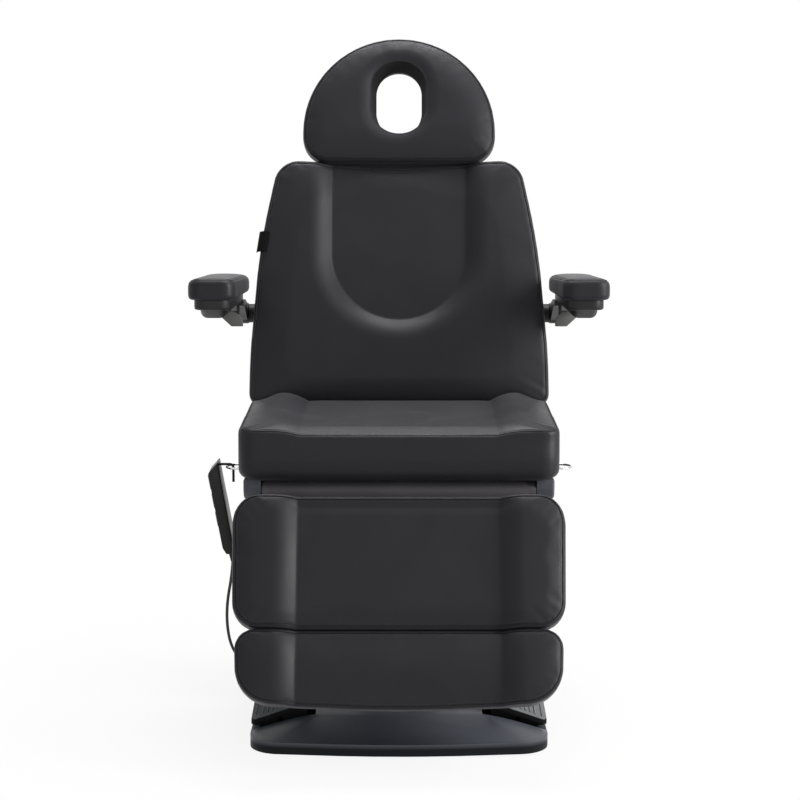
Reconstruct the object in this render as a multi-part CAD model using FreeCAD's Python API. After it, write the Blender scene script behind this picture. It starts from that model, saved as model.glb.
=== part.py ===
import FreeCAD, Part
import math
import os

# Spa treatment chair: upholstered seat, back, head, leg and foot sections and two armrests,
# carried by a telescopic lifting column on a low floor base with two foot pedals.
# Millimetres, +Z up, the chair faces -Y, the origin is on the floor under the column.

V = FreeCAD.Vector
X_AXIS, Y_AXIS, Z_AXIS = V(1, 0, 0), V(0, 1, 0), V(0, 0, 1)
ORIGIN = V(0, 0, 0)

# Shared clearances
soft_gap = 0.3            # between upholstery and what it lies beside
running_gap = 0.05        # radial, pins in bushes
glide_gap = 0.4           # between the column's tubes
overrun = 20.0            # how far a cutting tool passes a face

# Base
base_half_width = 285.0
base_half_length = 392.0
base_bow = 28.0           # the front and rear edges bow out by this
base_corner_radius = 60.0
base_bow_radius = 1500.0
foot_radius = 25.0
foot_height = 4.0
foot_side_inset = 80.0
foot_end_inset = 102.0
foot_x = base_half_width - foot_side_inset
foot_y = base_half_length - foot_end_inset
plate_thickness = 8.0
hood_lift = 5.0           # floor to the hood's lower edge
hood_rim = 28.0           # floor to the top of the hood's upright rim
hood_top = 60.0           # floor to the hood's flat top
hood_wall = 4.0
hood_ledge = 10.0         # rim wall, which rests on the base plate
plate_inset = 4.2
hood_side_slope = 105.0     # across, from the rim to the flat top
hood_end_slope = 92.0
plateau_half_width = base_half_width - hood_side_slope
plateau_half_length = base_half_length - hood_end_slope
plateau_bow = 8.0
plateau_corner_radius = 30.0
hood_cavity_step = 24.0

# Mains inlet in the hood's rear slope
inlet_width = 48.0
inlet_height = 26.0
inlet_depth = 30.0
inlet_x = 150.0
inlet_floor = 13.0
inlet_socket_width = 24.0
inlet_socket_height = 17.0
inlet_socket_depth = 18.0

# Foot pedals
pedal_overhang = 0.5
pedal_outer_x = base_half_width + pedal_overhang
pedal_width = 113.0
pedal_setback = 107.0
pedal_length = 160.0
pedal_front_y = pedal_setback - base_half_length
pedal_rear_y = pedal_front_y + pedal_length
pedal_outer_height = 50.0
pedal_slope_deg = 19.0
pedal_plate = 10.0
pedal_skirt_inset = 6.0
pedal_skirt_floor = 34.0
pedal_wall = 5.0
pedal_pin_x = pedal_outer_x - pedal_width / 2
pedal_pin_z = 45.0
pedal_pin_radius = 5.0
pedal_bay_gap = 7.0
pedal_bay_floor = 26.0
pedal_bay_inner_gap = 12.0
pedal_bay_inner_x = pedal_outer_x - pedal_width - pedal_bay_inner_gap
pedal_corner_radius = 10.0
bracket_foot = 4.0
bracket_half_width = 14.0
bracket_lug = 6.0
bracket_lug_gap = 1.0
bracket_lug_radius = 9.0

# Lifting column
tube_half = 85.0
tube_wall = 4.0
outer_tube_top = 390.0
mid_tube_bottom = 40.0
mid_tube_top = 410.0
inner_tube_bottom = 60.0
carriage_bottom = 440.0
carriage_thickness = 6.0
carriage_half_width = 256.0
carriage_half_length = 130.0
spindle_radius = 25.0
spindle_top = 400.0
spindle_bore_floor = 30.0
lift_rod_radius = 14.0
lift_rod_bottom = 60.0
lift_motor_radius = 22.0
lift_motor_y = 45.0
lift_motor_top = 160.0

# Seat frame
seat_floor = 511.0        # underside of the seat board
rail_inner_x = 231.0
rail_width = 25.0
rail_front_y = -185.0
rail_rear_y = 150.0
rail_wall = 3.0
side_plate_thickness = 8.0
side_plate_bottom = 462.0
side_plate_top = 508.0
leg_lug_radius = 24.0
back_lug_radius = 16.5
bush_radius = 11.0
pin_radius = 8.0
cover_depth = 34.0
cover_front_y = -246.0
cover_rear_y = 150.0
cover_bottom = 468.0
cover_top = 510.5
cover_wall = 3.0
cover_corner_radius = 24.0
cover_edge_radius = 5.0

# Seat cushion and board
board_thickness = 12.0
board_inset = 12.0
seat_half_width = 306.0
seat_front_y = -262.0
seat_rear_y = 150.0
seat_corner_radius = 34.0
seat_crown = 609.0        # top of the side bolsters
seat_trough_half = 192.0
seat_trough_slope = 58.0
seat_trough_depth = 14.0
seat_side_insets = (3.0, 0.0, 0.0, 6.0, 20.0, 56.0)
seat_side_shares = (0.0, 0.14, 0.70, 0.88, 0.97, 1.0)

# Chrome loops that the hand control hangs from
loop_y = -60.0
loop_z = 500.0
loop_half = 24.0
loop_straight = 22.0
loop_wire_radius = 2.25

# Leg rest, drawn raised level with the seat and then lowered
leg_axis_y = -222.0
leg_axis_z = 482.0
leg_drop_deg = 62.0
leg_axle_radius = 15.0
leg_axle_half = 255.5
leg_surface = 598.0
leg_cushion_thickness = 66.0
leg_front_y = -518.0
leg_rear_y = -270.0
leg_rear_half_width = 313.0
leg_front_half_width = 307.0
leg_corner_radius = 50.0
leg_trough_half = 190.0
leg_trough_slope = 38.0
leg_trough_depth = 17.0
leg_trough_end = 34.0
leg_trough_corner = 24.0
leg_side_insets = (3.0, 0.0, 0.0, 5.0, 16.0, 44.0)
leg_side_shares = (0.0, 0.15, 0.64, 0.85, 0.96, 1.0)
leg_board_end_inset = 12.0
leg_arm_x = 205.0
leg_arm_thickness = 10.0
leg_arm_half = 8.0
leg_arm_clear_y = -266.0
leg_arm_rise_y = -294.0
leg_arm_end_y = -490.0
leg_arm_depth = 16.0
leg_crank_x = 135.0
leg_crank_radius = 70.0
crank_thickness = 8.0
crank_half_width = 9.0
crank_pin_radius = 5.0
roll_radius = 26.0
roll_half = 252.0
roll_start_deg = 37.0
roll_sweep_deg = 180.0

# Foot rest on its two rods
foot_rest_gap = 3.0
foot_rest_length = 147.0
foot_rear_half_width = 304.0
foot_front_half_width = 298.0
foot_tip_bow = 14.0
foot_rear_radius = 36.0
foot_front_radius = 62.0
foot_bow_radius = 1800.0
foot_trough_end = 26.0
rod_x = 150.0
rod_radius = 8.0
guide_radius = 12.5
guide_rear_y = -300.0
guide_front_y = -505.0
rod_rear_y = -330.0
rod_saddle_half = 14.0
rod_saddle_rear_y = -560.0
rod_saddle_front_y = -640.0

# Back rest, drawn lying level behind the seat and then raised
back_axis_y = 194.0
back_axis_z = 566.0
back_rise_deg = 73.0
back_surface = 34.0       # front of the cushion, ahead of the pivot's plane
back_cushion_thickness = 68.0
back_foot_v = 18.0
back_top_v = 545.0
back_foot_half_width = 314.0
back_waist_v = 120.0
back_shoulder_v = 358.0
back_shoulder_half_width = 296.0
back_top_half_width = 257.0
back_top_dip = 15.0
back_foot_radius = 40.0
back_waist_radius = 1200.0
back_shoulder_radius = 1200.0
back_top_radius = 52.0
back_dip_radius = 1500.0
back_dish_half = 148.0
back_dish_slope = 46.0
back_dish_depth = 22.0
back_dish_foot_v = 194.0
back_side_insets = (3.0, 0.0, 0.0, 5.0, 16.0, 44.0)
back_side_shares = (0.0, 0.14, 0.64, 0.85, 0.96, 1.0)
tube_side = 25.0
frame_wall = 2.5
upright_x = 235.0
upright_foot_v = 5.0
upright_top_gap = 45.0
upright_top_v = back_top_v - upright_top_gap
lower_cross_v = 25.0
back_lug_thickness = 8.0
back_lug_eye_radius = 16.0
back_lug_reach_v = 60.0
back_crank_x = 110.0
back_crank_v = -57.0
back_crank_p = -76.0
post_v = 227.0
post_p = -68.0
post_radius = 20.0
post_end_x = 322.0
post_stub_radius = 10.0
post_stub_length = 34.0

# Head rest
head_gap = 11.0           # above the middle of the back's hollow top edge
head_foot_v = back_top_v - back_top_dip + head_gap
head_length = 267.0
head_half_width = 204.0
head_top_radius = 203.0
head_foot_radius = 55.0
head_side_insets = (3.0, 0.0, 0.0, 5.0, 15.0, 36.0)
head_side_shares = (0.0, 0.14, 0.64, 0.85, 0.96, 1.0)
face_mouth_half_width = 61.0
face_mouth_half_length = 81.0
face_through_half_width = 49.0
face_through_half_length = 72.0
face_round_share = 0.98
face_rise = 139.0
face_centre_v = head_foot_v + face_rise
head_axis_rise = 15.0
head_axis_v = upright_top_v + tube_side + head_axis_rise
head_axis_p = -58.0
head_pin_radius = 5.0
head_pin_half = 76.0
head_arm_x = 60.0
head_arm_half = 4.0
head_arm_radius = 11.0
head_arm_length = 49.0
head_arm_top_v = head_foot_v + head_arm_length
head_lug_inner_x = 66.0
head_lug_thickness = 8.0
head_lug_top_v = head_axis_v + head_arm_radius

# Armrests, drawn level about their pivot and then tipped up at the front
arm_tilt_deg = 3.5
arm_centre_x = 366.0
arm_pad_half_width = 46.0
arm_pad_front = -456.0
arm_pad_rear = -70.0
arm_pad_bottom = 49.0
arm_pad_thickness = 46.0
arm_pad_corner_radius = 24.0
arm_side_insets = (2.0, 0.0, 0.0, 3.0, 9.0, 20.0)
arm_side_shares = (0.0, 0.14, 0.62, 0.80, 0.94, 1.0)
arm_shell_inner_x = 335.0
arm_shell_outer_x = 395.0
arm_bracket_inner_x = 326.0
arm_bracket_outer_x = 360.0
arm_bracket_reach = 40.0
arm_shell_front = -438.0
arm_shell_front_depth = 35.0
arm_shell_nose = 40.0
arm_shell_mid_y = -92.0
arm_shell_mid_z = 17.0
arm_hub_radius = 22.0
arm_hub_gap = 0.5
arm_shell_top_rear = -70.0
arm_shell_round = 7.0
lever_y = -122.0
lever_z = 9.0
lever_barrel_radius = 5.0
lever_pin_radius = 3.0
lever_inner_x = 327.0
lever_outer_x = 374.0
lever_lug = 6.0
lever_gap = 0.5
lever_drop = 30.0
lever_thickness = 8.0
lever_tip_share = 0.55

# Linear actuators for the leg and the back
act_tube_radius = 18.0
act_rod_radius = 9.0
act_motor_radius = 21.0
act_motor_length = 110.0
act_motor_offset = 34.0
act_eye_radius = 12.0
act_eye_thickness = 16.0
act_slot_gap = 2.0
leg_act_z = 417.0
leg_act_slot = 5.5
leg_act_front_y = -100.0
leg_act_rear_y = 115.0
leg_rod_rear_y = -20.0
back_act_z = 480.0
back_act_slot = 9.5
back_act_front_y = -150.0
back_act_rear_y = 70.0
back_rod_front_y = -10.0
act_clamp_length = 24.0
act_eye_gap = 1.0

# Control box and cable gland
box_outer_x = 235.0
box_inner_x = 118.0
box_front_y = -20.0
box_rear_y = 126.0
box_bottom = 392.0
box_corner_radius = 5.0
gland_x = -203.0
gland_y = 104.0
gland_radius = 8.0
gland_length = 20.0
cord_radius = 3.0

# Hand control
hand_top_x = -371.5
hand_top_y = -60.0
hand_top_z = 511.0
hand_tilt_deg = 10.2
hand_length = 186.0
hand_thickness = 23.0
hand_width = 62.0
hand_corner_radius = 14.0
hand_edge_radius = 5.0
boot_radius = 5.0
boot_tip_radius = 3.6
boot_length = 22.0
lead_gap = 0.5
key_width = 36.0
key_length = 30.0
key_pitch = 38.0
key_first = 38.0
key_proud = 2.5
key_depth = 4.5
key_pocket_depth = 6.5
key_gap = 0.7
key_edge_radius = 2.0
key_axis_depth = 2.5
key_pin_radius = 1.4
key_pin_reach = 2.5
hook_wire_radius = 2.5
hook_inner_x = -331.0
hook_drop = 36.0
hook_root_z = 496.0

# Lead of the hand control, the points of its run below the hand control
lead_points = (
    V(-331.5, -60.0, 270.0), V(-337.6, -58.5, 223.0), V(-342.4, -55.0, 174.0),
    V(-338.5, -46.0, 128.0), V(-323.0, -27.0, 93.0), V(-300.0, 5.0, 78.0),
    V(-276.0, 44.0, 76.0), V(-255.0, 87.0, 82.0), V(-238.0, 128.0, 102.0),
    V(-226.0, 157.0, 140.0), V(-217.0, 168.0, 188.0), V(-210.5, 161.0, 236.0),
    V(-205.5, 138.0, 282.0), V(-203.0, 104.0, 326.0))


def block(x, y, z):
    """Box between two values on each axis, given in either order."""
    low = V(min(x), min(y), min(z))
    high = V(max(x), max(y), max(z))
    return Part.makeBox(high.x - low.x, high.y - low.y, high.z - low.z, low)


def rod_along_x(x, y, z, radius):
    return Part.makeCylinder(radius, abs(x[1] - x[0]), V(min(x), y, z), X_AXIS)


def rod_along_y(y, x, z, radius):
    return Part.makeCylinder(radius, abs(y[1] - y[0]), V(x, min(y), z), Y_AXIS)


def rod_along_z(z, x, y, radius):
    return Part.makeCylinder(radius, abs(z[1] - z[0]), V(x, y, min(z)), Z_AXIS)


def offset_corners(corners, inset):
    """Corner points and radii of a closed outline moved inward by an inset."""
    count = len(corners)
    moved = []
    for i in range(count):
        x0, y0, _ = corners[i - 1]
        x1, y1, radius = corners[i]
        x2, y2, _ = corners[(i + 1) % count]
        a = V(x1 - x0, y1 - y0, 0).normalize()
        b = V(x2 - x1, y2 - y1, 0).normalize()
        turn = a.x * b.y - a.y * b.x
        half = math.tan(math.atan2(turn, a.dot(b)) / 2)
        left = V(-a.y, a.x, 0)
        point = V(x1, y1, 0) + left * inset - a * inset * half
        if radius:
            radius = radius - inset if turn > 0 else radius + inset
        moved.append((point.x, point.y, radius))
    return moved


def outline_wire(corners, z):
    """Closed wire of lines and tangent arcs round counter-clockwise corners (x, y, radius)."""
    count = len(corners)
    starts, ends, mids = [], [], []
    for i in range(count):
        x0, y0, _ = corners[i - 1]
        x1, y1, radius = corners[i]
        x2, y2, _ = corners[(i + 1) % count]
        corner = V(x1, y1, z)
        a = V(x1 - x0, y1 - y0, 0).normalize()
        b = V(x2 - x1, y2 - y1, 0).normalize()
        turn = math.atan2(a.x * b.y - a.y * b.x, a.dot(b))
        reach = abs(radius * math.tan(turn / 2))
        starts.append(corner - a * reach)
        ends.append(corner + b * reach)
        toward = (b - a).normalize()
        mids.append(corner + toward * (radius / math.cos(turn / 2) - radius))
    edges = []
    for i in range(count):
        if corners[i][2]:
            edges.append(Part.Arc(starts[i], mids[i], ends[i]).toShape())
        follow = (i + 1) % count
        edges.append(Part.LineSegment(ends[i], starts[follow]).toShape())
    return Part.Wire(edges)


def plate(corners, bottom, top):
    face = Part.Face(outline_wire(corners, bottom))
    return face.extrude(V(0, 0, top - bottom))


def padded(corners, bottom, top, insets, shares):
    """Upholstered block: sides drawn in below, full in the middle, crowned on top."""
    wires = [outline_wire(offset_corners(corners, inset), bottom + (top - bottom) * share)
             for inset, share in zip(insets, shares)]
    return Part.makeLoft(wires, True, True)


def hollowed(corners, floor_z, slope, depth):
    """Tool for a sunk panel: its floor outline, widening by the slope up to the surface."""
    rise = slope / depth
    top = floor_z + depth + overrun
    wider = offset_corners(corners, -rise * (depth + overrun))
    return Part.makeLoft([outline_wire(corners, floor_z), outline_wire(wider, top)], True, True)


def rectangle(x, y, radius):
    return [(x[0], y[0], radius), (x[1], y[0], radius), (x[1], y[1], radius), (x[0], y[1], radius)]


def side_prism(points, x):
    """Prism along X from corner points given as (y, z)."""
    wire = Part.makePolygon([V(min(x), y, z) for y, z in points] + [V(min(x), *points[0])])
    return Part.Face(wire).extrude(V(abs(x[1] - x[0]), 0, 0))


def hollow_tube(x, y, z, wall, along):
    """Rectangular tube, open at both ends of the given axis."""
    inner = [[low + wall, high - wall] for low, high in (sorted(x), sorted(y), sorted(z))]
    inner[along] = sorted((x, y, z)[along])
    return block(x, y, z).cut(block(*inner))


def lowered(shape):
    """From the raised leg rest's position to the one it rests in."""
    return shape.copy().rotate(V(0, leg_axis_y, leg_axis_z), X_AXIS, leg_drop_deg)


def raised(shape):
    """From the back's own axes, across, along and ahead, to where it stands."""
    placed = shape.copy()
    placed.translate(V(0, back_axis_y, back_axis_z))
    return placed.rotate(V(0, back_axis_y, back_axis_z), X_AXIS, back_rise_deg)


def arm_pivot():
    turn = math.radians(back_rise_deg)
    return V(0, back_axis_y + post_v * math.cos(turn) - post_p * math.sin(turn),
             back_axis_z + post_v * math.sin(turn) + post_p * math.cos(turn))


def on_arm(shape):
    """From the armrest's own axes about its pivot to where it stands."""
    placed = shape.copy().rotate(ORIGIN, X_AXIS, -arm_tilt_deg)
    placed.translate(arm_pivot())
    return placed


def in_hand(shape):
    """From the hand control's own axes, with its top at the origin, to where it hangs."""
    placed = shape.copy().rotate(ORIGIN, Y_AXIS, -hand_tilt_deg)
    placed.translate(V(hand_top_x, hand_top_y, hand_top_z))
    return placed


# Base

def base_corners():
    corner_y = base_half_length - base_bow
    return [(-base_half_width, -corner_y, base_corner_radius), (0, -base_half_length, base_bow_radius),
            (base_half_width, -corner_y, base_corner_radius), (base_half_width, corner_y, base_corner_radius),
            (0, base_half_length, base_bow_radius), (-base_half_width, corner_y, base_corner_radius)]


def plateau_corners():
    corner_y = plateau_half_length - plateau_bow
    return [(-plateau_half_width, -corner_y, plateau_corner_radius), (0, -plateau_half_length, base_bow_radius),
            (plateau_half_width, -corner_y, plateau_corner_radius),
            (plateau_half_width, corner_y, plateau_corner_radius),
            (0, plateau_half_length, base_bow_radius), (-plateau_half_width, corner_y, plateau_corner_radius)]


plate_top = foot_height + plate_thickness


def base_plate():
    return plate(offset_corners(base_corners(), plate_inset), foot_height, plate_top)


def base_feet():
    """Rubber pads at the corners and one under the column."""
    places = [(x, y) for x in (-foot_x, foot_x) for y in (-foot_y, foot_y)] + [(0, 0)]
    return [rod_along_z((0, foot_height), x, y, foot_radius) for x, y in places]


def pedal_bay(side):
    """Opening in the hood that a pedal rocks in."""
    return block((side * pedal_bay_inner_x, side * (base_half_width + overrun)),
                 (pedal_front_y - pedal_bay_gap, pedal_rear_y + pedal_bay_gap),
                 (pedal_bay_floor, hood_top + overrun))


def inlet_place():
    return (inlet_x - inlet_width / 2, inlet_x + inlet_width / 2)


def base_hood():
    outline = base_corners()
    rim = plate(outline, hood_lift, hood_rim)
    roof = Part.makeLoft([outline_wire(outline, hood_rim), outline_wire(plateau_corners(), hood_top)], True, True)
    hood = rim.fuse(roof)
    pocket = plate(offset_corners(outline, plate_inset - soft_gap), foot_height, plate_top)
    inner = offset_corners(outline, hood_ledge)
    inner_top = offset_corners(plateau_corners(), hood_wall)
    cavity = plate(inner, plate_top, hood_cavity_step).fuse(Part.makeLoft(
        [outline_wire(inner, hood_cavity_step), outline_wire(inner_top, hood_top - hood_wall)], True, True))
    hood = hood.cut(pocket).cut(cavity)
    reach = tube_half + glide_gap
    hood = hood.cut(block((-reach, reach), (-reach, reach), (0, hood_top + overrun)))
    for side in (-1, 1):
        hood = hood.cut(pedal_bay(side))
    rear = base_half_length - base_bow
    hood = hood.cut(block(inlet_place(), (rear - inlet_depth, base_half_length + overrun),
                          (inlet_floor, inlet_floor + inlet_height)))
    return hood.removeSplitter()


def power_inlet():
    """Mains socket body set into the opening in the hood's rear edge."""
    rear = base_half_length - base_bow
    body = block(inlet_place(), (rear - inlet_depth, rear), (inlet_floor, inlet_floor + inlet_height))
    centre_z = inlet_floor + inlet_height / 2
    socket = block((inlet_x - inlet_socket_width / 2, inlet_x + inlet_socket_width / 2),
                   (rear - inlet_socket_depth, rear),
                   (centre_z - inlet_socket_height / 2, centre_z + inlet_socket_height / 2))
    return body.cut(socket)


# Pedals

def pedal_section(inset, drop):
    """Sloped top line of a pedal as (x, z) ends, moved in and down."""
    slope = math.tan(math.radians(pedal_slope_deg))
    outer, inner = pedal_outer_x - inset, pedal_outer_x - pedal_width + inset
    return ((outer, pedal_outer_height + inset * slope - drop),
            (inner, pedal_outer_height + (pedal_width - inset) * slope - drop))


def pedal_prism(side, points, y):
    wire = Part.makePolygon([V(side * x, y[0], z) for x, z in points + points[:1]])
    return Part.Face(wire).extrude(V(0, y[1] - y[0], 0))


def pedal(side):
    thickness = pedal_plate / math.cos(math.radians(pedal_slope_deg))
    top = pedal_section(0, 0)
    under = pedal_section(0, thickness)
    tread = pedal_prism(side, list(top) + [under[1], under[0]], (pedal_front_y, pedal_rear_y))
    edges = [e for e in tread.Edges if e.BoundBox.YLength < pedal_wall and e.BoundBox.ZLength < thickness * 2]
    corners = [e for e in edges if e.BoundBox.XLength < pedal_wall]
    tread = tread.makeFillet(pedal_corner_radius / 2, corners) if corners else tread
    skirt_line = pedal_section(pedal_skirt_inset, thickness)
    front, rear = pedal_front_y + pedal_skirt_inset, pedal_rear_y - pedal_skirt_inset
    skirt = pedal_prism(side, list(skirt_line) + [(skirt_line[1][0], pedal_skirt_floor),
                                                  (skirt_line[0][0], pedal_skirt_floor)], (front, rear))
    hollow_line = pedal_section(pedal_skirt_inset + pedal_wall, thickness)
    cavity = pedal_prism(side, list(hollow_line) + [(hollow_line[1][0], 0), (hollow_line[0][0], 0)],
                         (front + pedal_wall, rear - pedal_wall))
    body = tread.fuse(skirt.cut(cavity))
    bore = rod_along_y((pedal_front_y, pedal_rear_y), side * pedal_pin_x, pedal_pin_z,
                       pedal_pin_radius + running_gap)
    return body.cut(bore)


def pedal_pins():
    ends = (pedal_front_y + pedal_skirt_inset, pedal_rear_y - pedal_skirt_inset)
    return [rod_along_y(ends, side * pedal_pin_x, pedal_pin_z, pedal_pin_radius) for side in (-1, 1)]


def pedal_brackets():
    brackets = []
    inner_front = pedal_front_y + pedal_skirt_inset + pedal_wall + bracket_lug_gap
    inner_rear = pedal_rear_y - pedal_skirt_inset - pedal_wall - bracket_lug_gap
    for side in (-1, 1):
        x = (side * pedal_pin_x - bracket_lug_radius, side * pedal_pin_x + bracket_lug_radius)
        foot = block((side * pedal_pin_x - bracket_half_width, side * pedal_pin_x + bracket_half_width),
                     (inner_front, inner_rear), (plate_top, plate_top + bracket_foot))
        for lug in ((inner_front, inner_front + bracket_lug), (inner_rear - bracket_lug, inner_rear)):
            foot = foot.fuse(block(x, lug, (plate_top, pedal_pin_z)))
            foot = foot.fuse(rod_along_y(lug, side * pedal_pin_x, pedal_pin_z, bracket_lug_radius))
        foot = foot.cut(rod_along_y((inner_front, inner_rear), side * pedal_pin_x, pedal_pin_z, pedal_pin_radius))
        brackets.append(foot.removeSplitter())
    return brackets


# Lifting column

def column_tube(half, bottom, top):
    return hollow_tube((-half, half), (-half, half), (bottom, top), tube_wall, 2)


mid_half = tube_half - tube_wall - glide_gap
inner_half = mid_half - tube_wall - glide_gap


def lift_motor():
    spindle = rod_along_z((plate_top, spindle_top), 0, 0, spindle_radius)
    motor = rod_along_z((plate_top, lift_motor_top), 0, lift_motor_y, lift_motor_radius)
    bore = rod_along_z((spindle_bore_floor, spindle_top + overrun), 0, 0, lift_rod_radius + running_gap)
    return spindle.fuse(motor).cut(bore)


def lift_rod():
    return rod_along_z((lift_rod_bottom, carriage_bottom), 0, 0, lift_rod_radius)


carriage_top = carriage_bottom + carriage_thickness


def carriage_plate():
    return block((-carriage_half_width, carriage_half_width), (-carriage_half_length, carriage_half_length),
                 (carriage_bottom, carriage_top))


# Seat frame

rail_outer_x = rail_inner_x + rail_width
side_plate_outer_x = rail_outer_x + side_plate_thickness


def seat_rails():
    return [hollow_tube((side * rail_inner_x, side * rail_outer_x), (rail_front_y, rail_rear_y),
                        (carriage_top, seat_floor), rail_wall, 1) for side in (-1, 1)]


def side_plates():
    """Upright plates that carry the leg axle at the front and the back pivots behind."""
    plates = []
    for side in (-1, 1):
        x = (side * rail_outer_x, side * side_plate_outer_x)
        bar = block(x, (leg_axis_y, rail_rear_y), (side_plate_bottom, side_plate_top))
        nose = rod_along_x(x, leg_axis_y, leg_axis_z, leg_lug_radius)
        eye = rod_along_x(x, back_axis_y, back_axis_z, back_lug_radius)
        riser = side_prism([(rail_rear_y, side_plate_bottom), (back_axis_y + back_lug_radius, side_plate_top),
                            (back_axis_y + back_lug_radius, back_axis_z),
                            (back_axis_y - back_lug_radius, back_axis_z),
                            (back_axis_y - back_lug_radius, side_plate_top), (rail_rear_y, side_plate_top)], x)
        solid = bar.fuse([nose, eye, riser])
        for y, z in ((leg_axis_y, leg_axis_z), (back_axis_y, back_axis_z)):
            solid = solid.cut(rod_along_x(x, y, z, bush_radius))
        plates.append(solid.removeSplitter())
    return plates


def hinge_bushes():
    bushes = []
    for side in (-1, 1):
        x = (side * rail_outer_x, side * side_plate_outer_x)
        for y, z in ((leg_axis_y, leg_axis_z), (back_axis_y, back_axis_z)):
            ring = rod_along_x(x, y, z, bush_radius)
            bushes.append(ring.cut(rod_along_x(x, y, z, pin_radius + running_gap)))
    return bushes


cover_outer_x = side_plate_outer_x + cover_depth


def side_cover(side):
    """Moulded cover outside the side plate, open toward it, its front lower corner rounded."""
    def body(inset, x):
        front, bottom, top = cover_front_y + inset, cover_bottom + inset, cover_top - inset
        solid = block(x, (front, cover_rear_y - inset), (bottom, top))
        corner = [e for e in solid.Edges if e.BoundBox.YMax < front + overrun / 2
                  and e.BoundBox.ZMax < bottom + overrun / 2 and e.BoundBox.XLength > cover_wall]
        return solid.makeFillet(cover_corner_radius - inset, corner)
    outer = body(0, (side * side_plate_outer_x, side * cover_outer_x))
    rim = [e for e in outer.Edges if e.BoundBox.XLength < cover_wall
           and abs(abs(e.BoundBox.XMax) - cover_outer_x) < cover_wall]
    outer = outer.makeFillet(cover_edge_radius, rim)
    return outer.cut(body(cover_wall, (side * side_plate_outer_x, side * (cover_outer_x - cover_wall))))


def seat_corners():
    return rectangle((-seat_half_width, seat_half_width), (seat_front_y, seat_rear_y), seat_corner_radius)


def seat_board():
    return plate(offset_corners(seat_corners(), board_inset), seat_floor, seat_floor + board_thickness)


def seat_cushion():
    cushion = padded(seat_corners(), seat_floor + soft_gap, seat_crown, seat_side_insets, seat_side_shares)
    trough = hollowed(rectangle((-seat_trough_half, seat_trough_half),
                                (seat_front_y - seat_half_width, seat_rear_y + seat_half_width), 0),
                      seat_crown - seat_trough_depth, seat_trough_slope, seat_trough_depth)
    pocket = plate(offset_corners(seat_corners(), board_inset - soft_gap), seat_floor,
                   seat_floor + board_thickness + soft_gap)
    return cushion.cut(trough).cut(pocket)


def hook_loops():
    """Bent wire loops, their ends on the side covers."""
    loops = []
    for side in (-1, 1):
        near = side * cover_outer_x
        bend = side * (cover_outer_x + loop_straight)
        tip = side * (cover_outer_x + loop_straight + loop_half)
        diagonal = math.sqrt(0.5) * loop_half
        front, rear = loop_y - loop_half, loop_y + loop_half
        path = Part.Wire([
            Part.LineSegment(V(near, front, loop_z), V(bend, front, loop_z)).toShape(),
            Part.Arc(V(bend, front, loop_z), V(bend + side * diagonal, loop_y - diagonal, loop_z),
                     V(tip, loop_y, loop_z)).toShape(),
            Part.Arc(V(tip, loop_y, loop_z), V(bend + side * diagonal, loop_y + diagonal, loop_z),
                     V(bend, rear, loop_z)).toShape(),
            Part.LineSegment(V(bend, rear, loop_z), V(near, rear, loop_z)).toShape()])
        ring = Part.Wire(Part.makeCircle(loop_wire_radius, V(near, front, loop_z), X_AXIS))
        loops.append(path.makePipeShell([ring], True, False))
    return loops


# Leg rest

def leg_corners():
    return [(-leg_front_half_width, leg_front_y, leg_corner_radius),
            (leg_front_half_width, leg_front_y, leg_corner_radius),
            (leg_rear_half_width, leg_rear_y, leg_corner_radius),
            (-leg_rear_half_width, leg_rear_y, leg_corner_radius)]


leg_cushion_floor = leg_surface - leg_cushion_thickness
leg_board_floor = leg_cushion_floor - board_thickness


def leg_cushion():
    cushion = padded(leg_corners(), leg_cushion_floor + soft_gap, leg_surface, leg_side_insets, leg_side_shares)
    panel = rectangle((-leg_trough_half, leg_trough_half),
                      (leg_front_y + leg_trough_end, leg_rear_y - leg_trough_end), leg_trough_corner)
    trough = hollowed(panel, leg_surface - leg_trough_depth, leg_trough_slope, leg_trough_depth)
    return lowered(cushion.cut(trough))


def leg_board():
    return lowered(plate(offset_corners(leg_corners(), leg_board_end_inset), leg_board_floor, leg_cushion_floor))


def leg_axle():
    """Axle turning in the side plates, with the crank that the leg actuator pushes."""
    axle = rod_along_x((-leg_axle_half, leg_axle_half), leg_axis_y, leg_axis_z, leg_axle_radius)
    axle = axle.fuse(rod_along_x((-side_plate_outer_x, side_plate_outer_x), leg_axis_y, leg_axis_z, pin_radius))
    x = (leg_crank_x - crank_thickness / 2, leg_crank_x + crank_thickness / 2)
    eye_z = leg_axis_z - leg_crank_radius
    arm = block(x, (leg_axis_y - crank_half_width, leg_axis_y + crank_half_width), (eye_z, leg_axis_z))
    arm = arm.fuse(rod_along_x(x, leg_axis_y, eye_z, crank_half_width))
    reach = act_eye_thickness / 2 + crank_thickness
    pin = rod_along_x((leg_crank_x - reach, leg_crank_x), leg_axis_y, eye_z, crank_pin_radius)
    middle = -leg_drop_deg / 2
    crank = arm.fuse(pin).rotate(V(0, leg_axis_y, leg_axis_z), X_AXIS, middle)
    return lowered(axle.fuse(crank))


def leg_arms():
    """Bars welded to the axle that carry the leg board."""
    low, high = leg_axis_z - leg_arm_half, leg_axis_z + leg_arm_half
    profile = [(leg_axis_y, low), (leg_arm_clear_y, low), (leg_arm_rise_y, leg_board_floor - leg_arm_depth),
               (leg_arm_end_y, leg_board_floor - leg_arm_depth), (leg_arm_end_y, leg_board_floor),
               (leg_arm_rise_y, leg_board_floor), (leg_arm_clear_y, high), (leg_axis_y, high)]
    axle = rod_along_x((-leg_axle_half, leg_axle_half), leg_axis_y, leg_axis_z, leg_axle_radius)
    return [lowered(side_prism(profile, (side * leg_arm_x, side * (leg_arm_x + leg_arm_thickness))).cut(axle))
            for side in (-1, 1)]


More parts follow.
